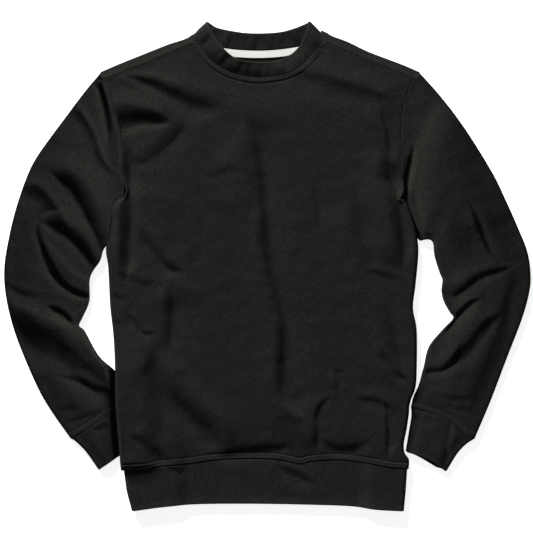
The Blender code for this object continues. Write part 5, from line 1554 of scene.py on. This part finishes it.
class StageSettings(bpy.types.PropertyGroup):
    """Lights and floor"""

    key_strength: FloatProperty(name="Key light", description="Strength of the main soft light", default=8.1)
    key_elevation: angle_property("Key height", "How high the main light stands", 19)
    key_turn: angle_property("Key turn, body", "How far left of the neck the light stands", 23)
    key_turn_left: angle_property("Key turn, left sleeve", "How far left of the neck its light stands", -25)
    key_turn_right: angle_property("Key turn, right sleeve", "How far left of the neck its light stands", 50)
    fill_strength: FloatProperty(name="Fill light", description="Strength of the light from all around",
                                 default=0.11)
    floor_glow: FloatProperty(name="Floor glow", description="Light of the lit floor itself", default=0.92)


def dressed(piece, node, material):
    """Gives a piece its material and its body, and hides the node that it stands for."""
    piece.data.materials.clear()
    piece.data.materials.append(material)
    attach(piece, "root")
    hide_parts(node)


def fabric(make):
    """The material that a function makes from the panel's colours, made on its first use."""
    if make.__name__ not in bpy.data.materials:
        make(bpy.context.scene.sweatshirt_colors)
    return bpy.data.materials[make.__name__]


GRIDS = {}  # outer and inner points of the pieces that stitches run along


class SWEATSHIRT_OT_body(bpy.types.Operator):
    """Builds the front and the back of the body"""

    bl_idname = "sweatshirt.body"
    bl_label = "Body"

    def execute(self, context):
        front, GRIDS["front"] = make_front()
        back, GRIDS["back"] = make_back()
        for piece, node in ((front, "front_panel"), (back, "back_panel")):
            dressed(piece, node, fabric(brushed_cotton_fleece))
        return {"FINISHED"}


class SWEATSHIRT_OT_sleeves(bpy.types.Operator):
    """Builds the two sleeves"""

    bl_idname = "sweatshirt.sleeves"
    bl_label = "Sleeves"

    def execute(self, context):
        for label, arm in ARMS.items():
            node = "sleeve_" + label
            piece, GRIDS[node] = make_sleeve(node + "_cloth", arm)
            dressed(piece, node, fabric(brushed_cotton_fleece))
        return {"FINISHED"}


class SWEATSHIRT_OT_bands(bpy.types.Operator):
    """Builds the ribbed hem band, cuffs and neckband"""

    bl_idname = "sweatshirt.bands"
    bl_label = "Ribbed bands"

    def execute(self, context):
        raise_ribs = rib_tree()
        rib = fabric(cotton_rib_knit)
        depth = context.scene.sweatshirt_cloth.rib_depth
        made = [(make_hem(), "hem_band", (1.03, 0.062))]
        for label, arm in ARMS.items():
            made.append((make_cuff(f"cuff_{label}_rib", arm), "cuff_" + label, (0.21, 0.06)))
        made.append((make_neckband(), "neckband", (0.48, 0.024)))
        for (piece, _), node, flat in made:
            run_nodes(piece, raise_ribs, **{"Rib Depth": depth, "Material": rib})
            dressed(piece, node, rib)
        return {"FINISHED"}


class SWEATSHIRT_OT_tape(bpy.types.Operator):
    """Builds the plain woven tape over the back neck seam"""

    bl_idname = "sweatshirt.tape"
    bl_label = "Neck tape"

    def execute(self, context):
        piece = make_tape()
        dressed(piece, "neck_tape", fabric(cotton_twill_tape))
        return {"FINISHED"}


def seam_run(grids, row, columns=slice(None), closed=False):
    """Points along one row of a piece's outer grid, just above its face."""
    outer, inner = (grid[row, columns] for grid in grids)
    outward = outer - inner
    outward /= np.linalg.norm(outward, axis=1)[:, None]
    run = outer + outward * THREAD_ABOVE
    run[:, 2] = np.maximum(run[:, 2], THREAD_LEAST)
    return np.vstack([run, run[:1]]) if closed else run


def body_seam_runs():
    """Stitch lines of the hem, shoulders and neck, on the front, and of the hem on the back."""
    front, back = GRIDS["front"], GRIDS["back"]
    left, neck, right = top_slices(*top_columns(FRONT_CELL)[:2])
    runs = [seam_run(grids, row) for grids in (front, back) for row in HEM_ROWS]
    runs += [seam_run(front, row, neck) for row in NECK_ROWS]
    return runs + [seam_run(front, SHOULDER_ROW, columns) for columns in (left, right)]


class SWEATSHIRT_OT_stitches(bpy.types.Operator):
    """Sews the seams: coverstitched hem, neck and cuffs, single rows at the shoulders and armholes"""

    bl_idname = "sweatshirt.stitches"
    bl_label = "Stitches"

    def execute(self, context):
        sizes = context.scene.sweatshirt_stitches
        lay_stitches = stitch_tree()
        thread = fabric(polyester_thread)
        seams = {"body_stitches": body_seam_runs()}
        for node in ("sleeve_left", "sleeve_right"):
            seams[node + "_stitches"] = [seam_run(GRIDS[node], row, closed=True) for row in SLEEVE_ROWS]
        for name, runs in seams.items():
            piece = run_nodes(lines_mesh(name, runs), lay_stitches,
                              **{"Stitch Length": sizes.length, "Stitch Spacing": sizes.spacing,
                                 "Thread Thickness": sizes.thickness, "Material": thread})
            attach(piece, "root")
        return {"FINISHED"}


def add_key(name, stage, turn, lit):
    """One soft round light from above the neck, which lights the given pieces alone."""
    lamp = bpy.data.lights.new(name, "AREA")
    lamp.shape = "DISK"
    lamp.size = KEY_DISTANCE * KEY_SPREAD
    lamp.energy = stage.key_strength * np.pi * KEY_DISTANCE**2
    key = add_object(name, lamp)
    elevation = stage.key_elevation
    towards = Vector((-np.sin(turn) * np.cos(elevation), np.cos(turn) * np.cos(elevation),
                      np.sin(elevation)))
    key.rotation_euler = towards.to_track_quat("Z", "Y").to_euler()
    key.location = towards * KEY_DISTANCE
    receivers = bpy.data.collections.new(name + "_receivers")
    for piece in lit:
        receivers.objects.link(piece)
    key.light_linking.receiver_collection = receivers


def add_keys(stage):
    """One light for each arm, and the body's light, which falls on all the rest."""
    arms = {label: [] for label in ARMS}
    others = []
    for piece in bpy.context.scene.collection.all_objects:
        label = next((label for label in arms if label in piece.name), None)
        (arms[label] if label else others).append(piece)
    add_key("key", stage, stage.key_turn, others)
    add_key("key_left", stage, stage.key_turn_left, arms["left"])
    add_key("key_right", stage, stage.key_turn_right, arms["right"])


def add_floor(glow):
    """The sweep paper that the sweatshirt lies on."""
    low, high = -FLOOR_HALF, FLOOR_HALF
    mesh = bpy.data.meshes.new("floor")
    mesh.from_pydata([(low, low, 0), (high, low, 0), (high, high, 0), (low, high, 0)], [], [(0, 1, 2, 3)])
    mesh.materials.append(floor_material("white_sweep_paper", linear("#f4f4f4"), glow))
    floor = add_object("floor", mesh)


def add_camera():
    """The camera, straight above the sweatshirt."""
    lens = bpy.data.cameras.new("camera")
    lens.lens = LENS
    lens.sensor_width = SENSOR_WIDTH
    lens.clip_end = FAR_CLIP
    camera = add_object("camera", lens)
    view_width = IMAGE_PIXELS * MM_A_PIXEL * MM
    camera.location = (*VIEW_CENTRE, SHARP_HEIGHT + view_width * LENS / SENSOR_WIDTH)
    bpy.context.scene.camera = camera


class SWEATSHIRT_OT_stage(bpy.types.Operator):
    """Lays the floor and sets the lights and the camera"""

    bl_idname = "sweatshirt.stage"
    bl_label = "Stage"

    def execute(self, context):
        stage = context.scene.sweatshirt_stage
        add_floor(stage.floor_glow)
        add_keys(stage)
        world = bpy.data.worlds.new("studio")
        world.use_nodes = True
        background = world.node_tree.nodes["Background"]
        background.inputs["Strength"].default_value = stage.fill_strength
        background.inputs["Color"].default_value = linear("#ffffff")
        context.scene.world = world
        add_camera()
        context.scene.view_settings.view_transform = "Standard"
        return {"FINISHED"}


class SWEATSHIRT_PT_panel(bpy.types.Panel):
    """Lists the pieces and their sizes"""

    bl_label = "Sweatshirt"
    bl_idname = "SWEATSHIRT_PT_panel"
    bl_space_type = "VIEW_3D"
    bl_region_type = "UI"
    bl_category = "Sweatshirt"

    def draw(self, context):
        for group in GROUPS:
            box = self.layout.box()
            settings = getattr(context.scene, group)
            for name in settings.__annotations__:
                box.prop(settings, name)
        for operator in OPERATORS:
            self.layout.operator(operator.bl_idname)


GROUPS = {"sweatshirt_cloth": ClothSizes, "sweatshirt_stitches": StitchSizes,
          "sweatshirt_colors": FabricColors, "sweatshirt_stage": StageSettings}
OPERATORS = [SWEATSHIRT_OT_body, SWEATSHIRT_OT_sleeves, SWEATSHIRT_OT_bands, SWEATSHIRT_OT_tape,
             SWEATSHIRT_OT_stitches, SWEATSHIRT_OT_stage]


def register():
    """Adds the settings, the operators and the panel."""
    for name, group in GROUPS.items():
        bpy.utils.register_class(group)
        setattr(bpy.types.Scene, name, PointerProperty(type=group))
    for operator in OPERATORS:
        bpy.utils.register_class(operator)
    bpy.utils.register_class(SWEATSHIRT_PT_panel)


def unregister():
    """Takes the panel, the operators and the settings away again."""
    bpy.utils.unregister_class(SWEATSHIRT_PT_panel)
    for operator in reversed(OPERATORS):
        bpy.utils.unregister_class(operator)
    for name, group in reversed(GROUPS.items()):
        delattr(bpy.types.Scene, name)
        bpy.utils.unregister_class(group)


def main():
    """Builds all the pieces and the stage."""
    register()
    bpy.ops.sweatshirt.body()
    bpy.ops.sweatshirt.sleeves()
    bpy.ops.sweatshirt.bands()
    bpy.ops.sweatshirt.tape()
    bpy.ops.sweatshirt.stitches()
    bpy.ops.sweatshirt.stage()


if __name__ == "__main__":
    main()
